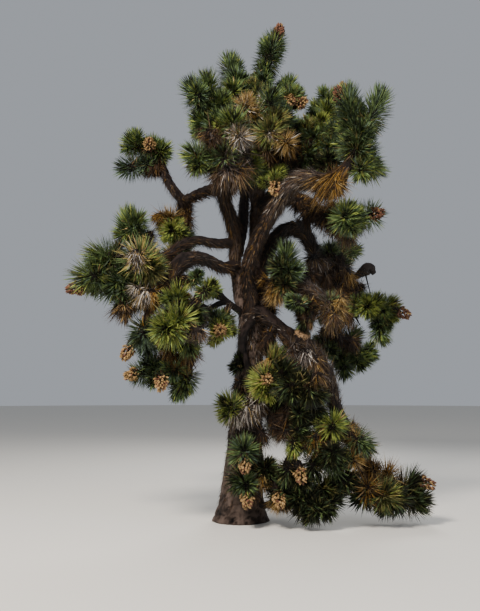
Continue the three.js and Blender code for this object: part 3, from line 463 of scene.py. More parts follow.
    "left_pale_heads": """
    -1080 2800 -960 0.4 0 -0.9 210 110 h golden
    -1210 2800 -1000 0 0.1 -1 185 90 h bleached
    -1390 2880 -860 -0.4 0.1 -0.9 160 100 g deep
    -1400 2680 -820 -0.3 -0.3 -0.9 190 100 h tan
    -1380 2090 -780 -0.4 -0.8 -0.5 110 40 c brown
    -1160 2100 -860 -0.1 -0.6 -0.9 190 110 g blue
    -1100 2640 -900 0 -0.5 -0.9 200 100 h brown""",
    "left_bright_heads": """
    -770 2460 -1120 0.2 0.4 -1 240 120 g fresh
    -560 2960 -760 0 0.4 -0.9 130 80 g deep
    -700 2740 -900 0.1 -0.6 -0.9 200 100 h golden
    -460 2440 -760 0.1 -0.9 -0.3 170 110 h grey
    -560 2560 -820 0.3 -0.2 -0.9 170 100 g deep
    -640 2130 -940 0.3 -0.7 -0.8 180 110 g green
    -880 2820 -860 -0.2 -0.5 -0.9 200 100 h brown
    -960 2340 -1180 -0.2 -0.1 -1 215 120 g fresh""",
    "left_bottom_heads": """
    -910 2120 -860 -0.2 -0.4 -0.9 230 110 h golden
    -660 2020 -820 0.3 -0.4 -0.9 220 110 h golden
    -975 1710 -880 0 -0.8 -0.6 110 40 c tan
    -820 1820 -820 0 -0.2 -1 180 110 g deep
    -1120 1900 -800 -0.4 0 -0.9 180 110 g deep
    -1060 1720 -780 -0.4 -0.5 -0.8 165 100 g deep
    -760 1530 -740 -0.1 -0.9 -0.3 150 90 g deep""",
    "back_left_heads": """
    -330 4650 1350 -0.7 0.1 0.6 220 130 g deep
    180 4620 1380 0.6 0.1 0.8 220 130 p olive
    -60 4480 1480 -0.1 -0.4 0.9 210 110 h tan
    60 5080 1250 0.3 0.9 0.2 210 150 g green""",
    "back_right_heads": """
    620 4860 1250 -0.2 0.9 0.4 210 150 g deep
    560 4380 1400 -0.3 -0.1 0.9 210 120 g fresh
    860 4280 1300 0.4 -0.5 0.8 220 110 h straw
    1120 4700 1150 0.8 0.3 0.3 200 120 g green""",
    "back_low_heads": """
    640 1800 820 0 0.9 0.5 200 130 g green
    560 1330 900 -0.1 -0.3 0.9 220 110 h brown
    900 1250 860 0.4 -0.2 0.8 210 120 g deep""",
    "left_back_heads": """
    -760 3250 900 0.2 0.7 0.6 200 130 g deep
    -860 2750 950 0 -0.5 0.9 220 110 h grey
    -1180 2850 820 -0.8 0 0.5 200 120 g deep""",
    "right_back_heads": """
    1060 3300 1150 -0.2 0.8 0.5 200 130 g green
    1000 2700 1150 -0.1 -0.5 0.9 220 110 h brown
    1420 2780 1050 0.8 -0.2 0.5 200 120 g deep
    1150 2450 980 0 -0.8 0.6 190 110 g deep""",
    "trunk_side_heads": """
    -250 2315 -450 0.05 0 -1 150 90 f bright
    -330 2470 -380 -0.1 0.7 -0.7 165 100 g deep
    -480 2620 -420 -0.4 0.2 -0.9 150 90 h grey""",
}


# A number from 0 to 1 that is always the same for the same three keys: what a
# large sine leaves after its point.
def chance(a, b, c):
    wave = np.sin(a * 12.9898 + b * 78.233 + c * 37.719) * 43758.5453
    return wave - np.floor(wave)


def mix(a, b, share):
    return a + (b - a) * share


def unit(v):
    return v / np.linalg.norm(v, axis=-1, keepdims=True)


# The true place of a point written as it lines up from the viewpoint: further back it stands wider and higher.
def place(point):
    across, up, behind = np.moveaxis(np.asarray(point, float) / 1000, -1, 0)
    spread = 1 + behind / viewpoint["distance"]
    eye = viewpoint["eyeHeight"]
    return np.stack([across * spread, behind, eye + (up - eye) * spread], axis=-1)


# A line with its length so far at each point, its slopes, and directions square to it that don't twist along
# it: each is the one before with its part along the line taken out.
def measure(points):
    at = np.concatenate([[0], np.cumsum(np.linalg.norm(np.diff(points, axis=0), axis=1))])
    slopes = unit(np.gradient(points, at, axis=0))
    normal = np.cross([1, 0, 0] if abs(slopes[0, 0]) < 0.8 else [0, 1, 0], slopes[0])
    normals = np.empty_like(slopes)
    for i, slope in enumerate(slopes):
        normal = unit(normal - slope * normal.dot(slope))
        normals[i] = normal
    return {"at": at, "points": points, "slopes": slopes, "normals": normals, "length": at[-1]}


# The smooth curve through a limb's points: in each span a cubic whose end slopes come from the neighbouring
# points, with the parameter stepping by the square root of the distance.
def limbLine(path, perSpan=24):
    points = place(path)
    knots = np.vstack([2 * points[0] - points[1], points, 2 * points[-1] - points[-2]])
    step = np.sqrt(np.linalg.norm(np.diff(knots, axis=0), axis=1))[:, None]
    before, start, end, after = knots[:-3], knots[1:-2], knots[2:-1], knots[3:]
    d0, d1, d2 = step[:-2], step[1:-1], step[2:]
    leave = ((start - before) / d0 - (end - before) / (d0 + d1) + (end - start) / d1) * d1
    arrive = ((end - start) / d1 - (after - start) / (d1 + d2) + (after - end) / d2) * d1
    s = (np.arange(perSpan) / perSpan)[None, :, None]
    start, end, leave, arrive = (v[:, None] for v in (start, end, leave, arrive))
    cubic = (start + leave * s + (3 * (end - start) - 2 * leave - arrive) * s**2
             + (2 * (start - end) + leave + arrive) * s**3)
    return measure(np.vstack([cubic.reshape(-1, 3), points[-1:]]))


# pull bends a twig, and the rest are its radii, in metres, its sides, the length
# of a ring and how far it is uneven.
twig = {"pull": 0.36, "steps": 33, "core": 0.052, "skirt": 0.072, "tip": 0.02, "sides": 7, "ring": 0.04,
        "roughness": 0.12}


# A twig from its root to the middle of its head, leaving one way and arriving another: a cubic with both pulls
# at the same share of the distance.
def twigLine(root, leaving, tip, aim):
    pull = np.linalg.norm(tip - root) * twig["pull"]
    s = np.linspace(0, 1, twig["steps"])[:, None]
    bend = 3 * (1 - s)**2 * s * (root + leaving * pull) + 3 * (1 - s) * s**2 * (tip - aim * pull)
    return measure((1 - s)**3 * root + bend + s**3 * tip)


def along(line, key, at):
    return np.stack([np.interp(at, line["at"], line[key][:, k]) for k in range(3)], axis=-1)


# A point at a length along a line, or straight on past its end.
def pointAt(line, at):
    inside = np.clip(at, 0, line["length"])
    return along(line, "points", inside) + unit(along(line, "slopes", inside)) * (at - inside)[..., None]


# The direction square to a line at a length along it and a turn round it.
def spokeAt(line, at, turn):
    slope = unit(along(line, "slopes", at))
    normal = along(line, "normals", at)
    normal = unit(normal - slope * (normal * slope).sum(-1, keepdims=True))
    return normal * np.cos(turn)[..., None] + np.cross(slope, normal) * np.sin(turn)[..., None]


# Where a side twig leaves a line and the way it sets out: towards its end, turned to the line's slope by keep.
def forkFrom(line, forkAt, end, keep):
    fork = along(line, "points", forkAt)
    out = unit(end - fork)
    return fork, out, unit(unit(along(line, "slopes", forkAt)) * keep + out)


# A closed tube: ring i stands square to the line at the length at[i], and its point j lies radius[i, j] out,
# j/sides of a turn round. A fan closes each end.
def tube(line, at, radius):
    rings, sides = radius.shape
    lengths = np.repeat(at[:, None], sides, axis=1)
    turn = np.repeat(2 * np.pi * np.arange(sides)[None] / sides, rings, axis=0)
    grid = pointAt(line, lengths) + spokeAt(line, lengths, turn) * radius[..., None]
    points = np.vstack([grid.reshape(-1, 3), pointAt(line, at[[0, -1]])])
    low = np.arange(rings - 1)[:, None] * sides + np.arange(sides)
    lowNext = np.arange(rings - 1)[:, None] * sides + (np.arange(sides) + 1) % sides
    j, k = np.arange(sides), (np.arange(sides) + 1) % sides
    top = (rings - 1) * sides
    faces = np.vstack([
        np.stack([low, lowNext, lowNext + sides], -1).reshape(-1, 3),
        np.stack([low, lowNext + sides, low + sides], -1).reshape(-1, 3),
        np.stack([np.full(sides, rings * sides), k, j], -1),
        np.stack([np.full(sides, rings * sides + 1), top + j, top + k], -1)])
    return points, faces


# Copies of one small closed body: the points of each copy, and its corners counted on from copy to copy.
def copies(points, corners):
    faces = np.arange(len(points))[:, None, None] * points.shape[1] + np.array(corners)
    return points.reshape(-1, 3), faces.reshape(-1, 3)


# Where a leaf is widest, along its length, how deep its keel is over its width, and its faces.
bladeShape = {"widestAt": 0.45, "keel": 0.32,
              "corners": [[0, 1, 2], [0, 2, 3], [0, 3, 1], [4, 2, 1], [4, 3, 2], [4, 1, 3]]}
spikeShape = {"keel": 0.35, "corners": [[0, 3, 1], [1, 3, 2], [2, 3, 0], [0, 1, 2]]}


# Stiff leaves, one a row, each a closed blade of six faces: it widens from its root to a three-
# cornered section, raised by its bow, and narrows to a point. up is the side its flat face
# looks to, and a keel runs under it.
def blades(root, direction, up, length, width, bow):
    up = unit(up - direction * (up * direction).sum(-1, keepdims=True))
    side = np.cross(direction, up)
    length, width, bow = length[:, None], width[:, None], bow[:, None]
    middle = root + direction * length * bladeShape["widestAt"] + up * length * bow
    points = np.stack([root, middle + side * width * 0.5, middle - side * width * 0.5,
                       middle - up * width * bladeShape["keel"], root + direction * length], axis=1)
    return copies(points, bladeShape["corners"])


# Short dead leaves, each a closed spike of four faces: a three-cornered root and a point. They have no bow.
def spikes(root, direction, up, length, width, bow=None):
    up = unit(up - direction * (up * direction).sum(-1, keepdims=True))
    side = np.cross(direction, up)
    length, width = length[:, None], width[:, None]
    points = np.stack([root + side * width * 0.5, root - side * width * 0.5,
                       root - up * width * spikeShape["keel"], root + direction * length], axis=1)
    return copies(points, spikeShape["corners"])


# Several meshes as one: each keeps its points, and its faces count on from the ones before.
def join(parts):
    starts = np.cumsum([0] + [len(points) for points, _ in parts[:-1]])
    return np.vstack([points for points, _ in parts]), np.vstack([f + s for (_, f), s in zip(parts, starts)])


# The linear colour of an sRGB hex code.
def linear(code):
    parts = np.array([int(code[i:i + 2], 16) for i in (1, 3, 5)]) / 255
    parts = np.where(parts <= 0.04045, parts / 12.92, ((parts + 0.055) / 1.055)**2.4)
    return (*parts.tolist(), 1.0)


# Adds a node with its settings. An input is a value or another node's socket, and stops are a colour ramp's.
def addNode(tree, kind, inputs, stops=(), **settings):
    node = tree.nodes.new(kind)
    for name, value in settings.items():
        setattr(node, name, value)
    for name, value in inputs.items():
        if isinstance(value, bpy.types.NodeSocket):
            tree.links.new(value, node.inputs[name])
        else:
            node.inputs[name].default_value = value
    for i, (position, code) in enumerate(stops):
        elements = node.color_ramp.elements
        element = elements[i] if i < len(elements) else elements.new(position)
        element.position = position
        element.color = linear(code)
    return node


# A new material, its node tree and its shader.
def newFinish(name):
    finish = bpy.data.materials.new(name)
    finish.use_nodes = True
    tree = finish.node_tree
    return finish, tree, tree.nodes["Principled BSDF"]


# Bark of the trunk and old limbs: corky grey-brown plates with dark furrows between them. The height that the
# mesh stores as its relief colours it: the lower the bark lies, the darker, so furrows are dark and ridges
# grey, and patches 90 mm across drift.
def barkFinish(name, stops, roughness):
    finish, tree, shader = newFinish(name)
    where = addNode(tree, "ShaderNodeTexCoord", {})
    height = addNode(tree, "ShaderNodeAttribute", {}, attribute_name="relief")
    patches = addNode(tree, "ShaderNodeTexNoise",
                      {"Vector": where.outputs["Object"], "Scale": 1 / 0.09, "Detail": 4.0, "Roughness": 0.6})
    drift = addNode(tree, "ShaderNodeMath", {0: patches.outputs["Fac"], 1: 0.9, 2: -0.45},
                    operation="MULTIPLY_ADD")
    shade = addNode(tree, "ShaderNodeMath", {0: height.outputs["Fac"], 1: drift.outputs[0]}, operation="ADD")
    colour = addNode(tree, "ShaderNodeValToRGB", {"Fac": shade.outputs[0]}, stops)
    # fibres and cracks of 8 mm, about as fine as shows from a few steps away
    cracks = addNode(tree, "ShaderNodeTexNoise",
                     {"Vector": where.outputs["Object"], "Scale": 1 / 0.008, "Detail": 3.0, "Roughness": 0.7})
    bump = addNode(tree, "ShaderNodeBump",
                   {"Height": cracks.outputs["Fac"], "Distance": 0.004, "Strength": 0.6})
    tree.links.new(colour.outputs["Color"], shader.inputs["Base Color"])
    tree.links.new(bump.outputs["Normal"], shader.inputs["Normal"])
    shader.inputs["Roughness"].default_value = roughness
    return finish


# A dry, fibrous or waxy surface with one base colour, which patches of the given size in metres make a little
# darker and lighter from leaf to leaf.
def plainFinish(name, dark, light, patch, roughness):
    finish, tree, shader = newFinish(name)
    where = addNode(tree, "ShaderNodeTexCoord", {})
    patches = addNode(tree, "ShaderNodeTexNoise",
                      {"Vector": where.outputs["Object"], "Scale": 1 / patch, "Detail": 2.0})
    colour = addNode(tree, "ShaderNodeValToRGB", {"Fac": patches.outputs["Fac"]}, [(0.3, dark), (0.7, light)])
    tree.links.new(colour.outputs["Color"], shader.inputs["Base Color"])
    shader.inputs["Roughness"].default_value = roughness
    return finish


# Both barks, the limbs' most, are set darker than bark's own grey-brown: partly painted shade of limbs that
# stand in the tree's shadow.
barks = {
    "old": barkFinish("furrowed_corky_bark", [(0.12, "#0a0807"), (0.42, "#2b221d"), (0.8, "#544740")], 0.95),
    "smooth": barkFinish("worn_limb_bark", [(0.1, "#060404"), (0.42, "#130e0c"), (0.85, "#261e1b")], 0.9),
}
# Live leaves are waxy and stiff, with a soft sheen. Their tints are greyed and blued a little: partly their own
# grey-green and partly painted sheen of the pale sky on them. shadow is a tint of painted shade. Patches of 60
# mm change the colour from one leaf to the next.
liveTints = {
    "fresh": ("#434f18", "#98a150"), "green": ("#27361a", "#6f824e"), "deep": ("#162014", "#4b5c3e"),
    "olive": ("#302f19", "#7c794a"), "blue": ("#25322a", "#687a66"), "yellowing": ("#756a35", "#a4965a"),
    "straw": ("#7d6942", "#b09765"), "shadow": ("#10120a", "#262817"),
}
# Dead ones are dry fibre, from golden straw through brown to grey and bleached white. dark is partly old dead
# leaves and partly painted shade, for thatch and dead leaves deep inside the tree.
deadTints = {
    "straw": ("#705c38", "#a48b5a"), "golden": ("#583e17", "#8c692b"), "brown": ("#291c13", "#4a3521"),
    "grey": ("#332d2a", "#5c534d"), "bleached": ("#8d857c", "#c4bdb4"), "dark": ("#130f0c", "#29211b"),
    "tan": ("#453626", "#6d5940"),
}
podTints = {"tan": ("#6d5735", "#b08f62"), "rust": ("#452d23", "#7a5440")}
liveFinishes = [plainFinish("waxy_leaf_" + tint, *liveTints[tint], 0.06, 0.5) for tint in liveTints]
deadFinishes = [plainFinish("dry_leaf_" + tint, *deadTints[tint], 0.06, 0.85) for tint in deadTints]
podFinishes = [plainFinish("pod_husk_" + tint, *podTints[tint], 0.03, 0.75) for tint in podTints]
woodFinish = plainFinish("broken_pale_wood", "#54402c", "#947859", 0.012, 0.85)


# A mesh object from points and triangles, riding on the tree. finishOf gives each face's place in the finishes.
def makePiece(name, points, faces, finishes, replaced, finishOf=None, smooth=False, relief=None):
    mesh = bpy.data.meshes.new(name)
    mesh.vertices.add(len(points))
    mesh.vertices.foreach_set("co", points.astype(np.float32).ravel())
    mesh.loops.add(faces.size)
    mesh.loops.foreach_set("vertex_index", faces.astype(np.int32).ravel())
    mesh.polygons.add(len(faces))
    mesh.polygons.foreach_set("loop_start", np.arange(0, faces.size, 3, dtype=np.int32))
    for finish in finishes:
        mesh.materials.append(finish)
    if finishOf is not None:
        mesh.polygons.foreach_set("material_index", finishOf.astype(np.int32))
    mesh.polygons.foreach_set("use_smooth", np.full(len(faces), smooth))
    mesh.update(calc_edges=True)
    if relief is not None:
        mesh.attributes.new("relief", "FLOAT", "POINT").data.foreach_set("value", relief.astype(np.float32))
    piece = bpy.data.objects.new(name, mesh)
    bpy.context.scene.collection.objects.link(piece)
    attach(piece, "root")
    if replaced:
        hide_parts(*replaced)
    return piece


# Noise on cells that wrap round: each corner of a cell has its own chance, and a point takes the mix
# of its four, eased by 3s^2 - 2s^3.
def cellNoise(u, v, wrap, seed):
    cellU, cellV = np.floor(u), np.floor(v)
    easeU, easeV = ((w - cell)**2 * (3 - 2 * (w - cell)) for w, cell in ((u, cellU), (v, cellV)))
    low = mix(chance(cellU % wrap, cellV, seed), chance((cellU + 1) % wrap, cellV, seed), easeU)
    high = mix(chance(cellU % wrap, cellV + 1, seed), chance((cellU + 1) % wrap, cellV + 1, seed), easeU)
    return mix(low, high, easeV)


bark = {
    "grain": 0.016,  # from one point of the mesh to the next
    "plateWidth": 0.05, "plateLength": 0.1,
    "trunkDepth": 0.017, "limbDepth": 0.014,
    "swelling": 0.06,  # of the radius, in slow lumps
    "collar": 0.3, "collarLength": 0.1,  # how much wider a limb's root is, and over what length that dies away
    "flare": 0.095, "flareHeight": 0.23,
    "torn": 0.022,  # how far the wood of a broken end stands out and back
    "domeRings": 6, "dome": 0.5, "brokenDome": 0.08,  # rings that close a tip, and its height over its radius
}
groundGap = 0.014  # no leaf comes nearer to the ground


# Height of the bark, about -1 to 1, at a share of a turn and a length along: plates with furrows where a warped
# noise crosses its middle, and finer knobs on them.
def barkHeight(share, at, girth, seed):
    cells = max(4, round(girth / bark["plateWidth"]))
    u, v = share * cells, at / bark["plateLength"]
    warpU = cellNoise(u * 2, v * 2, cells * 2, seed + 1) - 0.5
    warpV = cellNoise(u * 2, v * 2, cells * 2, seed + 2) - 0.5
    plates = cellNoise(u + warpU * 0.7, v + warpV * 0.8, cells, seed)
    furrow = np.exp(-((plates - 0.5) / 0.08)**2)
    cross = np.exp(-((cellNoise(u + warpV, v * 1.7 + warpU, cells, seed + 5) - 0.5) / 0.06)**2)
    knobs = cellNoise(u * 2, v * 2, cells * 2, seed + 3)
    grains = cellNoise(u * 4, v * 3, cells * 4, seed + 4)
    return 0.5 * plates + 0.4 * knobs + 0.45 * grains - 0.9 * furrow - 0.45 * cross


# Limbs that swell into a knob: how far along, over what share of the length, and by how much.
knots = {"dead_stub": (0.8, 0.14, 0.044)}
# Wood that the frame leaves out: a dead runner down the trunk's face, and the stump of a limb that broke off.
remnants = {
    "trunk_runner": dict(root=40, tip=30, path=[[150, 2440, -110], [70, 2330, -160], [25, 2200, -180],
        [40, 2050, -175], [85, 1900, -180], [120, 1720, -170], [110, 1560, -160]]),
    "prop_stump": dict(root=84, tip=70, path=[[745, 2190, -350], [775, 2250, -400], [795, 2305, -435]]),
}
brokenEnds = ["prop_stump"]


# A limb's smooth radius: an even taper, the trunk's flare at the ground, and a
# collar where it leaves its parent.
def limbRadius(name, line, at):
    limb = limbs.get(name) or remnants[name]
    root, tip = limb["root"] / 1000, limb["tip"] / 1000
    taper = mix(root, tip, np.clip(at / line["length"], 0, 1))
    if name == "trunk":
        return taper + bark["flare"] * np.exp(-np.maximum(pointAt(line, at)[..., 2], 0) / bark["flareHeight"])
    if name in knots:
        share, spread, swell = knots[name]
        taper = taper + swell * np.exp(-((at / line["length"] - share) / spread)**2)
    return taper * (1 + bark["collar"] * np.exp(-np.maximum(at - root, 0) / bark["collarLength"]))


# A limb's bark: a tube whose radius is the limb's, in slow lumps, with the bark's height on it. The
# last rings close its tip by a quarter of a sine, and a broken end's points stand out and back by
# chance, in the colour of its wood.
def growLimb(name, line, seed):
    tip = (limbs.get(name) or remnants[name])["tip"] / 1000
    start = np.interp(0, line["points"][:, 2], line["at"]) if name == "trunk" else 0
    at = np.arange(start, line["length"], bark["grain"])
    quarter = np.linspace(0, np.pi / 2, bark["domeRings"])
    dome = bark["brokenDome" if name in brokenEnds else "dome"]
    at = np.concatenate([at, line["length"] + tip * dome * np.sin(quarter)])
    girth = 2 * np.pi * limbRadius(name, line, at[:-bark["domeRings"]]).mean()
    sides = int(girth * 1.1 / bark["grain"])
    share = np.arange(sides)[None] / sides
    lengths = at[:, None] + 0 * share
    height = barkHeight(share + 0 * lengths, lengths, girth, seed)
    lumps = cellNoise(share * 3 + 0 * lengths, lengths / 0.28, 3, seed + 7) - 0.5
    depth = bark["trunkDepth"] if name == "trunk" or name in knots else bark["limbDepth"]
    radius = limbRadius(name, line, lengths) * (1 + bark["swelling"] * 2 * lumps) + depth * height
    radius[-bark["domeRings"]:] *= np.cos(quarter)[:, None] * 0.97 + 0.03
    points, faces = tube(line, at, radius)
    points[:, 2] = np.maximum(points[:, 2], 0)
    finishOf = np.zeros(len(faces))
    if name in brokenEnds:
        past = ((points - line["points"][-1]) * line["slopes"][-1]).sum(-1)
        torn = chance(np.arange(len(points)), 3, 1) - 0.6
        points += line["slopes"][-1] * (torn * bark["torn"] * (past > -0.02))[:, None]
        finishOf = past[faces].mean(axis=1) > 0.03 * chance(np.arange(len(faces)), 4, 1) - 0.055
    relief = np.concatenate([height.ravel(), [0.3, 0.3]]) * 0.45 + 0.38
    finish = barks["old" if name in ("trunk", "crown_bough", "centre_bough") else "smooth"]
    replaced = [name] if name in limbs else []
    makePiece(name + "_bark", points, faces, [finish, woodFinish], replaced, finishOf, True, relief)
    return len(faces)


limbLines = {name: limbLine(limb["path"]) for name, limb in limbs.items()}
remnantLines = {name: limbLine(limb["path"]) for name, limb in remnants.items()}
grown = {**limbLines, **remnantLines}
barkCount = sum(growLimb(name, line, 10 * i) for i, (name, line) in enumerate(grown.items()))
print("limbs:", len(grown), "in", barkCount, "triangles")

# Balls along every limb, by which a leaf is tested.
ballAt = {name: np.arange(0.02, line["length"], 0.04) for name, line in limbLines.items()}
ballCentres = np.vstack([pointAt(limbLines[name], at) for name, at in ballAt.items()])
ballRadii = np.concatenate([limbRadius(name, limbLines[name], at) for name, at in ballAt.items()])
ballSlopes = np.vstack([unit(along(limbLines[name], "slopes", at)) for name, at in ballAt.items()])


# Which leaves may stay: the tip well above the ground, and no point of the outer part inside a limb.
def clearLeaves(root, tip):
    clear = tip[:, 2] > groundGap
    for share in (0.55, 0.8, 1):
        point = mix(root, tip, share)
        gap = np.linalg.norm(point[:, None] - ballCentres[None], axis=-1) - ballRadii
        clear &= gap.min(axis=1) > 0
    return clear


goldenTurn = 2.39996
# Chances of each tint, by rows for the top, the middle and the foot of a head. The columns are liveTints in
# order, and tints past the end of a row have none.
liveShares = {
    # The first tone darkens heads mostly with the shadow tint: painted shade for the low and inner heads that
    # lie in shade.
    "dusk": [[0, 0.15, 0.25, 0.1, 0, 0, 0, 0.5], [0, 0.05, 0.1, 0.1, 0, 0, 0, 0.75],
             [0, 0, 0.05, 0.1, 0, 0, 0.05, 0.8]],
    "bright": [[0.9, 0.05, 0, 0, 0, 0.05, 0], [0.8, 0.1, 0, 0.05, 0, 0.05, 0],
               [0.4, 0.3, 0.1, 0.1, 0, 0.05, 0.05]],
    "fresh": [[0.8, 0.15, 0, 0, 0, 0.05, 0], [0.5, 0.4, 0, 0.08, 0, 0.02, 0],
              [0.1, 0.4, 0.2, 0.2, 0, 0.05, 0.05]],
    "green": [[0.3, 0.57, 0, 0.05, 0.08, 0, 0], [0.1, 0.6, 0.2, 0.05, 0.05, 0, 0],
              [0, 0.35, 0.35, 0.2, 0.05, 0, 0.05]],
    "deep": [[0.1, 0.5, 0.3, 0, 0.1, 0, 0], [0, 0.35, 0.5, 0.05, 0.1, 0, 0],
             [0, 0.15, 0.5, 0.25, 0.05, 0, 0.05]],
    "olive": [[0.15, 0.25, 0, 0.5, 0, 0.1, 0], [0, 0.25, 0.15, 0.5, 0, 0.1, 0],
              [0, 0.1, 0.2, 0.5, 0, 0.1, 0.1]],
    "blue": [[0, 0.3, 0.1, 0, 0.6, 0, 0], [0, 0.2, 0.3, 0, 0.5, 0, 0],
             [0, 0.1, 0.4, 0.2, 0.25, 0, 0.05]],
    "pale": [[0.15, 0.3, 0, 0.2, 0.05, 0.25, 0.05], [0.1, 0.3, 0.1, 0.25, 0, 0.15, 0.1],
             [0, 0.2, 0.25, 0.3, 0, 0.1, 0.15]],
}
# Chances of each tint of deadTints in order, by what a skirt or a thatch mostly is.
deadShares = {
    "straw": [0.5, 0.2, 0.1, 0.05, 0, 0.05, 0.1], "golden": [0.14, 0.4, 0.22, 0, 0, 0.18, 0.06],
    "brown": [0, 0.03, 0.4, 0.1, 0, 0.3, 0.17], "grey": [0.02, 0, 0.15, 0.45, 0.03, 0.2, 0.15],
    "bleached": [0.3, 0, 0, 0.28, 0.42, 0, 0], "tan": [0.08, 0.04, 0.25, 0.15, 0, 0.18, 0.3],
    # the dark row is mostly the dark tint: partly old leaves, partly painted shade
    "dark": [0, 0.02, 0.28, 0.05, 0, 0.6, 0.05], "silver": [0.08, 0, 0.05, 0.5, 0.25, 0.1, 0.02],
    # The last row is mostly pale straw and bleached leaves: painted light, so that dead heads under the crown
    # look sunlit.
    "sunny": [0.75, 0.1, 0, 0, 0.1, 0, 0.05],
}


# Which tint each leaf gets: the place of its own chance among the running sums of its row.
def deal(shares, draw):
    return (draw[:, None] > np.cumsum(shares, axis=-1)).sum(-1).clip(0, np.shape(shares)[-1] - 1)


thatch = {
    "perMetre": 1500,  # leaves on a metre of limb of 70 mm radius, where it is thick
    "outFrom": 12, "outTo": 62,  # degrees off the bark
    "width": 0.008, "hang": 0.3,  # more on long leaves
    "sunk": 0.96,  # where on the limb's radius they are rooted
    "usual": 0.085, "longFrom": 0.17,  # metres: longer ones lie closer, and still longer ones hang more
}


# Dead leaves laid back along a limb: each points to the limb's root, a little out, and hangs. Long ones lie
# closer, and where they are thin on a limb, none are left on its upper side.
def limbThatch(name, line, start, stop, thick, tint, long, seed):
    start, stop = start * line["length"], stop * line["length"]
    radius = limbRadius(name, line, np.array([(start + stop) / 2]))[0]
    count = int(thatch["perMetre"] * (stop - start) * thick * radius / 0.07)
    i = np.arange(count)
    at = start + (stop - start) * chance(i, seed, 1)
    spoke = spokeAt(line, at, 2 * np.pi * chance(i, seed, 2))
    slope = unit(along(line, "slopes", at))
    root = pointAt(line, at) + spoke * (limbRadius(name, line, at)[:, None] * thatch["sunk"])
    out = mix(thatch["outFrom"], thatch["outTo"], chance(i, seed, 3)) * min(thatch["usual"] / long, 1)
    out = np.radians(out)[:, None]
    aside = np.cross(slope, spoke) * (chance(i, seed, 4) - 0.5)[:, None] * 0.5
    hang = thatch["hang"] + max(long - thatch["longFrom"], 0) * 6
    direction = unit(spoke * np.sin(out) - slope * np.cos(out) + aside - np.array([0, 0, hang]))
    outward = (direction * spoke).sum(-1, keepdims=True)
    direction = unit(direction + spoke * np.maximum(0.1 - outward, 0))
    length = long * (0.55 + 0.8 * chance(i, seed, 5))
    width = thatch["width"] * (0.7 + 0.6 * chance(i, seed, 6))
    kept = (root[:, 2] + direction[:, 2] * length > groundGap) & ((thick >= 1) | (spoke[:, 2] < 0.35))
    leaves = [v[kept] for v in (root, direction, spoke, length, width)]
    return spikes(*leaves), np.repeat(deal(deadShares[tint], chance(i, seed, 8))[kept], 4)


thatchOf = {
    "thatch_left": ["left_upper_bough", "left_drop_bough", "left_middle_bough", "left_lower_bough",
                    "left_hanging_bough"],
    "thatch_centre": ["trunk", "front_bough", "crown_bough", "centre_bough", "left_crown_bough", "inner_bough",
                      "arch_bough", "back_bough"],
    "thatch_right": ["corner_bough", "prop_bough", "apron_bough", "prop_foot", "droop_bough", "slant_bough",
                     "right_tip_bough", "shade_bough", "right_crown_bough", "dead_stub"],
}
for name, members in thatchOf.items():
    laid = [limbThatch(limb, limbLines[limb], *stretch, 100 + 7 * list(limbs).index(limb) + k)
            for limb in members for k, stretch in enumerate(limbs[limb]["thatch"])]
    points, faces = join([mesh for mesh, _ in laid])
    tints = np.concatenate([tints for _, tints in laid])
    makePiece(name, points, faces, deadFinishes, [], tints)
    print(name, len(faces), "triangles")


headShape = {"mostLeafy": 0.55, "skirt": 0.2, "mostSkirt": 0.75}  # metres for the middle one, and shares


# A head's figures, as the frame has them: how much of the twig is under live
# leaves, and how much under its skirt.
def makeHead(line, aim, mass, kind, tone, key, share=1.0, size=1.0):
    length = line["length"]
    leafy = min(mass["column"] / 1000 * share, headShape["mostLeafy"] * length)
    skirt = min(headShape["skirt"] * size, headShape["mostSkirt"] * (length - leafy))
    return {"line": line, "aim": aim, "girth": mass["girth"] / 1000 * size, "leafy": leafy, "skirt": skirt,
            "length": length, "leaf": mass["leaf"] / 1000 * size, "kind": kind, "key": key, "size": size,
            "tone": tone, "dead": "grey" if kind == "p" else mass["skirt"], "pods": mass.get("pods", "tan")}


# All the twigs of a mass, by the frame's rule: the first from its limb to its head, and the side twigs from
# part way along it, each to its own clock angle and reach.
def massHeads(mass, massKey):
    line = limbLines[mass["on"]]
    rootAt = np.array(mass["at"] * line["length"])
    slope = unit(along(line, "slopes", rootAt))
    root = along(line, "points", rootAt)
    tip = place(mass["to"])
    straight = unit(tip - root)
    leaving = unit(slope * 0.8 + straight) if mass["at"] == 1 else straight
    across, up, behind = mass["to"]
    aim = unit(np.array([mass["aim"][0], mass["aim"][2], mass["aim"][1]], float))
    main = twigLine(root, leaving, tip, aim)
    kinds, tones, leaves = mass["kinds"], mass["tones"].split(), mass.get("leaves", [])
    heads = [makeHead(main, aim, mass, kinds[0], tones[0], massKey)]
    for i, (clock, reach) in enumerate(mass["sides"]):
        key = massKey + (i + 1) / 10
        turn = np.radians(clock)
        depth = behind + reach * 0.3 * (2 * chance(key, 3, 0) - 1)
        end = place([across + reach * np.sin(turn), up + reach * np.cos(turn), depth])
        forkAt = np.array(mix(0.35, 0.55, chance(key, 4, 0)) * main["length"])
        fork, out, sideLeaving = forkFrom(main, forkAt, end, 0.7)
        sideAim = unit(aim * 0.7 + out)
        sideLine = twigLine(fork, sideLeaving, end, sideAim)
        share = mix(0.8, 1.1, chance(key, 5, 0))
        side = makeHead(sideLine, sideAim, mass, kinds[i + 1], tones[i + 1], key, share)
        heads.append({**side, "girth": side["girth"] * 0.9, "leaf": side["leaf"] * 0.95})
    return [{**head, "leaf": leaf / 1000} for head, leaf in zip(heads, leaves)] or heads


finerTwigs = {
    "shares": (0.55, 0.25),  # the chance of a first and of a second small head beside each head
    "outFrom": 0.1, "outTo": 0.17, "back": 0.12,  # how far off its axis, and how far back from its tip at most
    "size": 0.72, "column": 0.6,  # of the head's
}


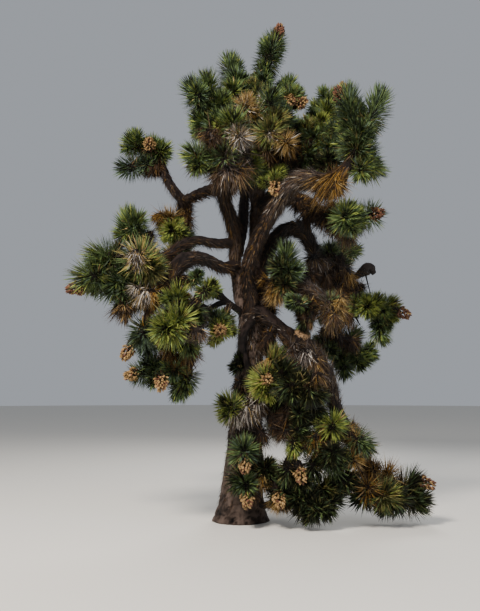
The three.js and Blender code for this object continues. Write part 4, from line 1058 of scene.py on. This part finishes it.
# Small heads that fork off under a head and end beside it, within its leaves' reach.
def smallHeads(head, mass):
    made = []
    for i, odds in enumerate(finerTwigs["shares"]):
        key = head["key"] + 40.3 + i
        if chance(key, 1, 0) > odds or head["kind"] == "c":
            continue
        line = head["line"]
        forkAt = np.array(line["length"] * mix(0.55, 0.75, chance(key, 2, 0)))
        spoke = spokeAt(line, forkAt, np.array(2 * np.pi * chance(key, 3, 0)))
        reach = mix(finerTwigs["outFrom"], finerTwigs["outTo"], chance(key, 4, 0))
        end = line["points"][-1] + spoke * reach - head["aim"] * finerTwigs["back"] * chance(key, 5, 0)
        fork, out, leaving = forkFrom(line, forkAt, end, 0.6)
        aim = unit(head["aim"] * 0.6 + out + spoke * 0.4)
        kind = head["kind"] if head["kind"] in "dh" else "g"
        small = {**mass, "leaf": head["leaf"] * 1000}
        line = twigLine(fork, leaving, end, aim)
        made.append(makeHead(line, aim, small, kind, head["tone"], key, finerTwigs["column"],
                             finerTwigs["size"]))
    return made


fillers = {"jitter": 0.16, "clearOf": 0.06, "column": 0.8, "size": 0.88}  # the first two in metres


# More heads of a mass, between the ones that the frame has: each ends part way from one to another, and
# leaves the first twig near its middle.
def fillHeads(heads, mass):
    made = []
    centres = [head["line"]["points"][-1] for head in heads]
    for i in range(mass.get("fill", 0)):
        key = heads[0]["key"] + 60.7 + i
        one = i % len(heads)
        two = (one + 1 + int(chance(key, 1, 0) * (len(heads) - 1))) % len(heads)
        shift = np.array([chance(key, 2, 0), chance(key, 3, 0), chance(key, 4, 0)]) - 0.5
        end = mix(centres[one], centres[two], mix(0.35, 0.65, chance(key, 5, 0))) + shift * fillers["jitter"]
        if (np.linalg.norm(ballCentres - end, axis=1) - ballRadii).min() < fillers["clearOf"]:
            continue
        line = heads[0]["line"]
        forkAt = np.array(line["length"] * mix(0.35, 0.6, chance(key, 6, 0)))
        fork, out, leaving = forkFrom(line, forkAt, end, 0.6)
        aim = unit(heads[one]["aim"] + heads[two]["aim"] + out * 0.6 + shift)
        tone = mass["tones"].split()[0]
        line = twigLine(fork, leaving, end, aim)
        made.append(makeHead(line, aim, mass, "g", tone, key, fillers["column"], fillers["size"]))
    return made


looseHeads = {"behind": 0.18, "girth": 34}  # metres to where wood is looked for, and the twig's radius in mm


# The heads of moreHeads. Each twig springs from the nearest wood: of all points along the limbs and the mass's
# own twigs, the one nearest to a place a little behind the head.
def extraHeads(heads, mass, table):
    woodAt = np.vstack([ballCentres] + [head["line"]["points"][4:20] for head in heads])
    woodSlope = np.vstack([ballSlopes] + [head["line"]["slopes"][4:20] for head in heads])
    made = []
    for i, row in enumerate(table.strip().splitlines()):
        *numbers, kind, tone = row.split()
        across, up, behind, aimAcross, aimUp, aimBehind, leaf, column = map(float, numbers)
        end, aim = place([across, up, behind]), unit(np.array([aimAcross, aimBehind, aimUp]))
        nearest = np.argmin(np.linalg.norm(woodAt - end + aim * looseHeads["behind"], axis=1))
        leaving = unit(woodSlope[nearest] * 0.4 + unit(end - woodAt[nearest]))
        own = {**mass, "leaf": leaf, "column": column, "girth": looseHeads["girth"]}
        line = twigLine(woodAt[nearest], leaving, end, aim)
        made.append(makeHead(line, aim, own, kind, tone, heads[0]["key"] + 80 + (i + 1) / 37))
    return made


# The radius along a head's twig: bare wood, the swelling under its skirt, and
# the core that the leaves stand on.
def twigRadius(head, at):
    size, bare = head["size"], head["length"] - head["leafy"] - head["skirt"]
    share = np.clip((at - head["length"] + head["leafy"]) / head["leafy"], 0, 1)
    core = mix(twig["core"] * 1.15, twig["tip"], share**3) * size
    stops = [0, bare, bare + head["skirt"] * 0.65, bare + head["skirt"]]
    radii = [head["girth"], head["girth"] * 0.9, twig["skirt"] * size, twig["core"] * 1.15 * size]
    below = np.interp(at, stops, radii)
    return np.where(at > stops[3], core, below)


# A head's twig: a tube by that radius, which chance makes a little uneven from point to point.
def headTwig(head):
    rings = max(4, int(head["length"] / twig["ring"]))
    at = np.linspace(0, head["length"] + twig["tip"] * 0.5, rings)
    turn = np.arange(twig["sides"])[None]
    rough = 1 + twig["roughness"] * (2 * chance(at[:, None] * 50, turn, head["key"]) - 1)
    return tube(head["line"], at, twigRadius(head, at)[:, None] * rough)


# One set of leaves on a head: roots at these lengths along the twig and turns round it, each leaning this much
# off the head's axis, so that its tip lies its length from the axis. drop pulls it down.
def headBlades(head, at, lean, length, width, bow, drop, seed, shape=blades):
    i, key = np.arange(len(at)), head["key"]
    turn = goldenTurn * i + 0.9 * chance(i, key, seed)
    line = head["line"]
    inside = np.clip(at, 0, head["length"])
    spoke = spokeAt(line, inside, turn)
    slope = unit(along(line, "slopes", inside))
    centre = pointAt(line, at)
    lean = np.radians(lean)[:, None]
    aside = np.cross(slope, spoke) * (chance(i, key, seed + 1) - 0.5)[:, None] * 0.25
    direction = slope * np.cos(lean) + spoke * np.sin(lean) + aside
    direction[:, 2] -= drop
    direction = unit(direction)
    tip = centre + direction * length[:, None]
    root = centre + spoke * (twigRadius(head, inside) * 0.7)[:, None]
    clear = clearLeaves(root, tip)
    reach = np.linalg.norm(tip - root, axis=1)
    facing = slope * 0.9 + spoke * 0.3 * np.sign(np.cos(lean))
    leaves = (root, unit(tip - root), facing, reach, width, bow)
    return shape(*(v[clear] for v in leaves)), clear


liveLeaves = {
    "each": 132, "perMetre": 1080,  # how many on a head: a number, and more for each metre of leafy twig
    "width": 0.0155, "deadWidth": 0.0115, "stretch": 1.1,
    # degrees off the twig at its tip and its foot, by kind
    "leans": {"g": (10, 106), "u": (3, 46), "p": (20, 106), "f": (40, 112), "c": (60, 115), "d": (15, 120),
              "h": (10, 120)},
    "spread": 20, "deadSpread": 60,
    "heart": 0.08,  # the share of them still folded together at the tip, dark with painted shade of the gaps between them
}


# A head's leaves, which lean out further from its tip to its foot. Dead ones are thin spikes, and on a hanging
# head each has its own length and falls by its own amount, from hardly at all to nearly straight down.
def headLeaves(head):
    kind, key = head["kind"], head["key"]
    dry, hangs = kind in "dhc", kind == "h"
    count = int((liveLeaves["each"] + liveLeaves["perMetre"] * head["leafy"]) * head["size"]**0.5)
    count = int(count * {"d": 1.2, "h": 1.35, "c": 0.3}.get(kind, 1))
    i = np.arange(count)
    share = (i + chance(i, key, 10)) / count
    at = head["length"] - share * (head["leafy"] + 0.35 * head["skirt"]) * (1.5 if hangs else 1)
    top, foot = liveLeaves["leans"][kind]
    spread = liveLeaves["deadSpread" if dry else "spread"]
    lean = mix(top, foot, share**0.7) + spread * (chance(i, key, 11) - 0.5)
    young = np.clip(share * 7, 0, 1) * 0.28 + 0.72
    least, more = {"h": (0.45, 0.7), "d": (0.6, 0.5)}.get(kind, (0.86, 0.24))
    length = liveLeaves["stretch"] * head["leaf"] * young * (least + more * chance(i, key, 12))
    width = liveLeaves["deadWidth" if dry else "width"] * (0.8 + 0.4 * chance(i, key, 13)) * mix(0.8, 1, young)
    drop = {"d": 0.35 * share, "h": 0.3 + 1.4 * chance(i, key, 18)}.get(kind, 0.08 * share)
    bow = 0.004 + 0.02 * chance(i, key, 14)
    mesh, clear = headBlades(head, at, lean, length, width, bow, drop, 15, spikes if dry else blades)
    draw = chance(i, key, 16)[clear]
    if dry:
        return mesh, np.repeat(deal(deadShares[head["tone"]], draw), 4)
    row = np.digitize(share[clear] + 0.3 * (chance(i, key, 17)[clear] - 0.5), [0.3, 0.72])
    tints = deal(np.array(liveShares[head["tone"]])[row], draw)
    # the heart's leaves take the shadow tint: painted shade
    tints[(share[clear] < liveLeaves["heart"]) & (draw < 0.75)] = list(liveTints).index("shadow")
    return mesh, np.repeat(tints, 6)


# perMetre and bare count the leaves on a metre of folded skirt and of bare twig.
skirts = {"perMetre": 340, "least": 22, "width": 0.012, "bare": 160}


# Dead leaves below a head: folded back along the twig where the live ones end, and
# sparser on the twig's bare length.
def headSkirt(head):
    bare, key = head["length"] - head["leafy"] - head["skirt"], head["key"]
    folded = int(skirts["least"] + skirts["perMetre"] * head["skirt"])
    sparse = int(skirts["bare"] * bare)
    i = np.arange(folded + sparse)
    isFolded = i < folded
    share = chance(i, key, 20)
    foldedAt = head["length"] - head["leafy"] - head["skirt"] * (share * 0.95 - 0.12)
    at = np.where(isFolded, foldedAt, bare * share)
    lean = np.where(isFolded, mix(116, 158, share), 160) + 26 * (chance(i, key, 21) - 0.5)
    length = head["leaf"] * np.where(isFolded, mix(0.95, 0.7, share), 0.62) * (0.8 + 0.35 * chance(i, key, 22))
    width = skirts["width"] * (0.7 + 0.5 * chance(i, key, 23))
    drop = 0.6 * chance(i, key, 27)
    mesh, clear = headBlades(head, at, lean, length, width, 0 * share, drop, 25, spikes)
    fresh = np.array(deadShares[head["dead"]])
    old = np.array(deadShares["grey" if head["dead"] in ("grey", "bleached") else "brown"])
    rows = np.where((isFolded & (share < 0.75))[:, None], fresh, old)
    return mesh, np.repeat(deal(rows, chance(i, key, 26))[clear], 4)


beard = {"count": 150, "over": 0.6, "width": 0.75}  # as shares of the leafy twig and of a skirt leaf's width


# On a pale head bleached leaves stand and hang in front of its middle.
def headBeard(head):
    i, key = np.arange(beard["count"]), head["key"]
    share = chance(i, key, 30)
    at = head["length"] - share * head["leafy"] * beard["over"] + 0.02
    lean = mix(5, 75, share) + 16 * (chance(i, key, 31) - 0.5)
    length = head["leaf"] * (0.35 + 0.5 * chance(i, key, 32))
    width = skirts["width"] * beard["width"] * (0.8 + 0.4 * chance(i, key, 33))
    drop = 0.4 + 1.5 * chance(i, key, 36)
    mesh, clear = headBlades(head, at, lean, length, width, 0 * share, drop, 34, spikes)
    return mesh, np.repeat(deal(deadShares["bleached"], chance(i, key, 35))[clear], 4)


# ringsAt and ends say where along a pod, as shares of its length, its rings and its two points
# lie, and swell how wide each ring is.
podCluster = {"count": 84, "length": 0.039, "radius": 0.0115, "reach": 0.075, "stalk": 0.16,
              "ringsAt": [-0.45, -0.1, 0.3], "swell": [0.6, 1, 0.7], "ends": [-0.55, 0.62]}


# A cluster of pods past a head's tip. Each pod is a closed surface: rings of six points whose radius swells and
# narrows to a point along its length, set round the stalk by the golden turn.
def headPods(head):
    i, key = np.arange(podCluster["count"]), head["key"]
    share = (i + 0.5) / podCluster["count"]
    at = head["length"] + share * podCluster["stalk"] * 0.95
    turn = goldenTurn * i + chance(i, key, 40)
    end = np.full(len(i), head["length"])
    spoke, slope = spokeAt(head["line"], end, turn), unit(along(head["line"], "slopes", end))
    reach = podCluster["reach"] * np.sqrt(np.clip(1.15 - share, 0.05, 1))[:, None]
    centre = pointAt(head["line"], at) + spoke * reach * (0.75 + 0.3 * chance(i, key, 41))[:, None]
    axis = unit(spoke + slope * mix(0.3, 1.6, share)[:, None] + np.array([0, 0, -0.25]))
    side = unit(np.cross(axis, slope + 0.01))
    other = np.cross(axis, side)
    size = 0.8 + 0.4 * chance(i, key, 42)
    ringsAt = np.array(podCluster["ringsAt"]) * podCluster["length"]
    radii = np.array(podCluster["swell"]) * podCluster["radius"]
    corner = np.arange(6) * np.pi / 3
    spokes = side[:, None, None] * np.cos(corner)[:, None] + other[:, None, None] * np.sin(corner)[:, None]
    rings = axis[:, None, None] * ringsAt[None, :, None, None] + spokes * radii[None, :, None, None]
    ends = axis[:, None] * np.array(podCluster["ends"])[:, None] * podCluster["length"]
    pods = np.concatenate([rings.reshape(len(i), 18, 3), ends], axis=1) * size[:, None, None] + centre[:, None]
    j, k = np.arange(6), (np.arange(6) + 1) % 6
    bands = [np.vstack([np.stack([6 * r + j, 6 * r + k, 6 * r + 6 + k], 1),
                        np.stack([6 * r + j, 6 * r + 6 + k, 6 * r + 6 + j], 1)]) for r in range(2)]
    corners = np.vstack([*bands, np.stack([0 * j + 18, k, j], 1), np.stack([0 * j + 19, 12 + j, 12 + k], 1)])
    tint = list(podTints).index(head["pods"])
    swapped = chance(i, key, 43) < 0.25
    return copies(pods, corners), np.repeat(np.where(swapped, 1 - tint, tint), len(corners))


# The stalk of a cluster, tapering from the head's tip.
def podStalk(head):
    at = np.linspace(head["length"] - 0.03, head["length"] + podCluster["stalk"], 8)
    return tube(head["line"], at, np.linspace(0.014, 0.004, 8)[:, None] * np.ones(6))


# Thin dead twigs that hang or stand bare, by the part they are joined into: both ends, and the radius at each.
dryTwigs = {
    "right": [([1580, 3070, 560], [1650, 2760, 540], 13, 4), ([1450, 2500, 450], [1512, 2380, 440], 16, 4),
              ([1520, 5080, -820], [1585, 5290, -760], 13, 5)],
    "left": [([-600, 2560, -700], [-430, 2610, -640], 9, 4)],
}


# A dry twig, nearly straight, sagging a little in the middle.
def dryTwig(start, stop, thick, thin):
    ends = place([start, stop])
    line = measure(np.stack([ends[0], ends.mean(axis=0) - [0, 0, 0.012], ends[1]]))
    at = np.linspace(0, line["length"], 7)
    return tube(line, at, np.linspace(thick, thin, 7)[:, None] * np.ones(6) / 1000)


for part in ("low", "left", "right", "crown", "back"):
    members = [name for name in masses if masses[name]["part"] == part]
    heads = []
    for name in members:
        own = massHeads(masses[name], list(masses).index(name) + 1)
        own += fillHeads(own, masses[name]) + extraHeads(own, masses[name], moreHeads.get(name, ""))
        heads += own + [small for head in own for small in smallHeads(head, masses[name])]
    live = [headLeaves(head) for head in heads if head["kind"] not in "dhc"]
    dry = [headLeaves(head) for head in heads if head["kind"] in "dhc"] + [headSkirt(head) for head in heads]
    dry += [headBeard(head) for head in heads if head["kind"] == "p"]
    pods = [headPods(head) for head in heads if head["kind"] in "fc"]
    twigs = [headTwig(head) for head in heads] + [podStalk(head) for head in heads if head["kind"] in "fc"]
    twigs += [dryTwig(*ends) for ends in dryTwigs.get(part, [])]
    kinds = [("live_leaves", live, liveFinishes, "foliage"), ("dead_leaves", dry, deadFinishes, "dead_leaves"),
             ("pods", pods, podFinishes, "fruit")]
    for kind, laid, finishes, slotName in kinds:
        points, faces = join([mesh for mesh, _ in laid])
        makePiece(kind + "_" + part, points, faces, finishes, members,
                  np.concatenate([tints for _, tints in laid]))
        print(kind, part, len(laid), "heads", len(faces), "triangles")
    points, faces = join(twigs)
    relief = 0.25 + 0.4 * chance(np.arange(len(points)), 1, 2)
    makePiece("twigs_" + part, points, faces, [barks["smooth"]], members, relief=relief)
    print("twigs", part, len(faces), "triangles")

ground = {"radius": 60, "sides": 96, "colour": "#d8d4cc"}
turn = np.linspace(0, 2 * np.pi, ground["sides"], endpoint=False)
ring = np.stack([ground["radius"] * np.cos(turn), ground["radius"] * np.sin(turn), 0 * turn], axis=1)
floorMesh = bpy.data.meshes.new("pale_floor")
floorMesh.from_pydata(ring.tolist(), [], [list(range(ground["sides"]))])
floorFinish, _, floorShader = newFinish("matt_pale_floor")
floorShader.inputs["Base Color"].default_value = linear(ground["colour"])
floorShader.inputs["Roughness"].default_value = 0.95
floorMesh.materials.append(floorFinish)
floor = bpy.data.objects.new("pale_floor", floorMesh)
bpy.context.scene.collection.objects.link(floor)

# Soft studio light: a large key high on the left, a weaker fill on the right, a
# rim from behind, and a pale world.
lights = {
    "key": dict(at=(-4, -8, 10), size=3, power=2650, colour="#fff8ef"),
    "fill": dict(at=(8, -6, 5), size=6, power=240, colour="#eef3ff"),
    "rim": dict(at=(3, 8, 9), size=5, power=700, colour="#ffffff"),
}
aimPoint = np.array([0.1, 0, 3.2])
for name, light in lights.items():
    data = bpy.data.lights.new(name, "AREA")
    data.shape = "DISK"
    data.size = light["size"]
    data.energy = light["power"]
    data.color = linear(light["colour"])[:3]
    lamp = bpy.data.objects.new(name, data)
    away = np.array(light["at"]) - aimPoint
    lamp.location = light["at"]
    lamp.rotation_euler = (np.arctan2(np.hypot(away[0], away[1]), away[2]), 0, np.arctan2(away[0], -away[1]))
    lamp.visible_glossy = name == "fill"  # the strong ones would glare white off leaves seen against them
    bpy.context.scene.collection.objects.link(lamp)

sky = {"colour": "#dfe5ee", "strength": 0.48}
world = bpy.data.worlds.new("studio")
bpy.context.scene.world = world
world.use_nodes = True
world.node_tree.nodes["Background"].inputs["Color"].default_value = linear(sky["colour"])
world.node_tree.nodes["Background"].inputs["Strength"].default_value = sky["strength"]

# The photograph's view: eye height, level heading, tilted up a little, upright frame.
cameraData = bpy.data.cameras.new("camera")
cameraData.sensor_fit = "VERTICAL"
cameraData.sensor_height = viewpoint["sensorHeight"]
cameraData.lens = viewpoint["lens"]
camera = bpy.data.objects.new("camera", cameraData)
camera.location = (0, -viewpoint["distance"], viewpoint["eyeHeight"])
camera.rotation_euler = (np.radians(90 + viewpoint["tiltDegrees"]), 0, 0)
bpy.context.scene.collection.objects.link(camera)
bpy.context.scene.camera = camera

print("scene ready")
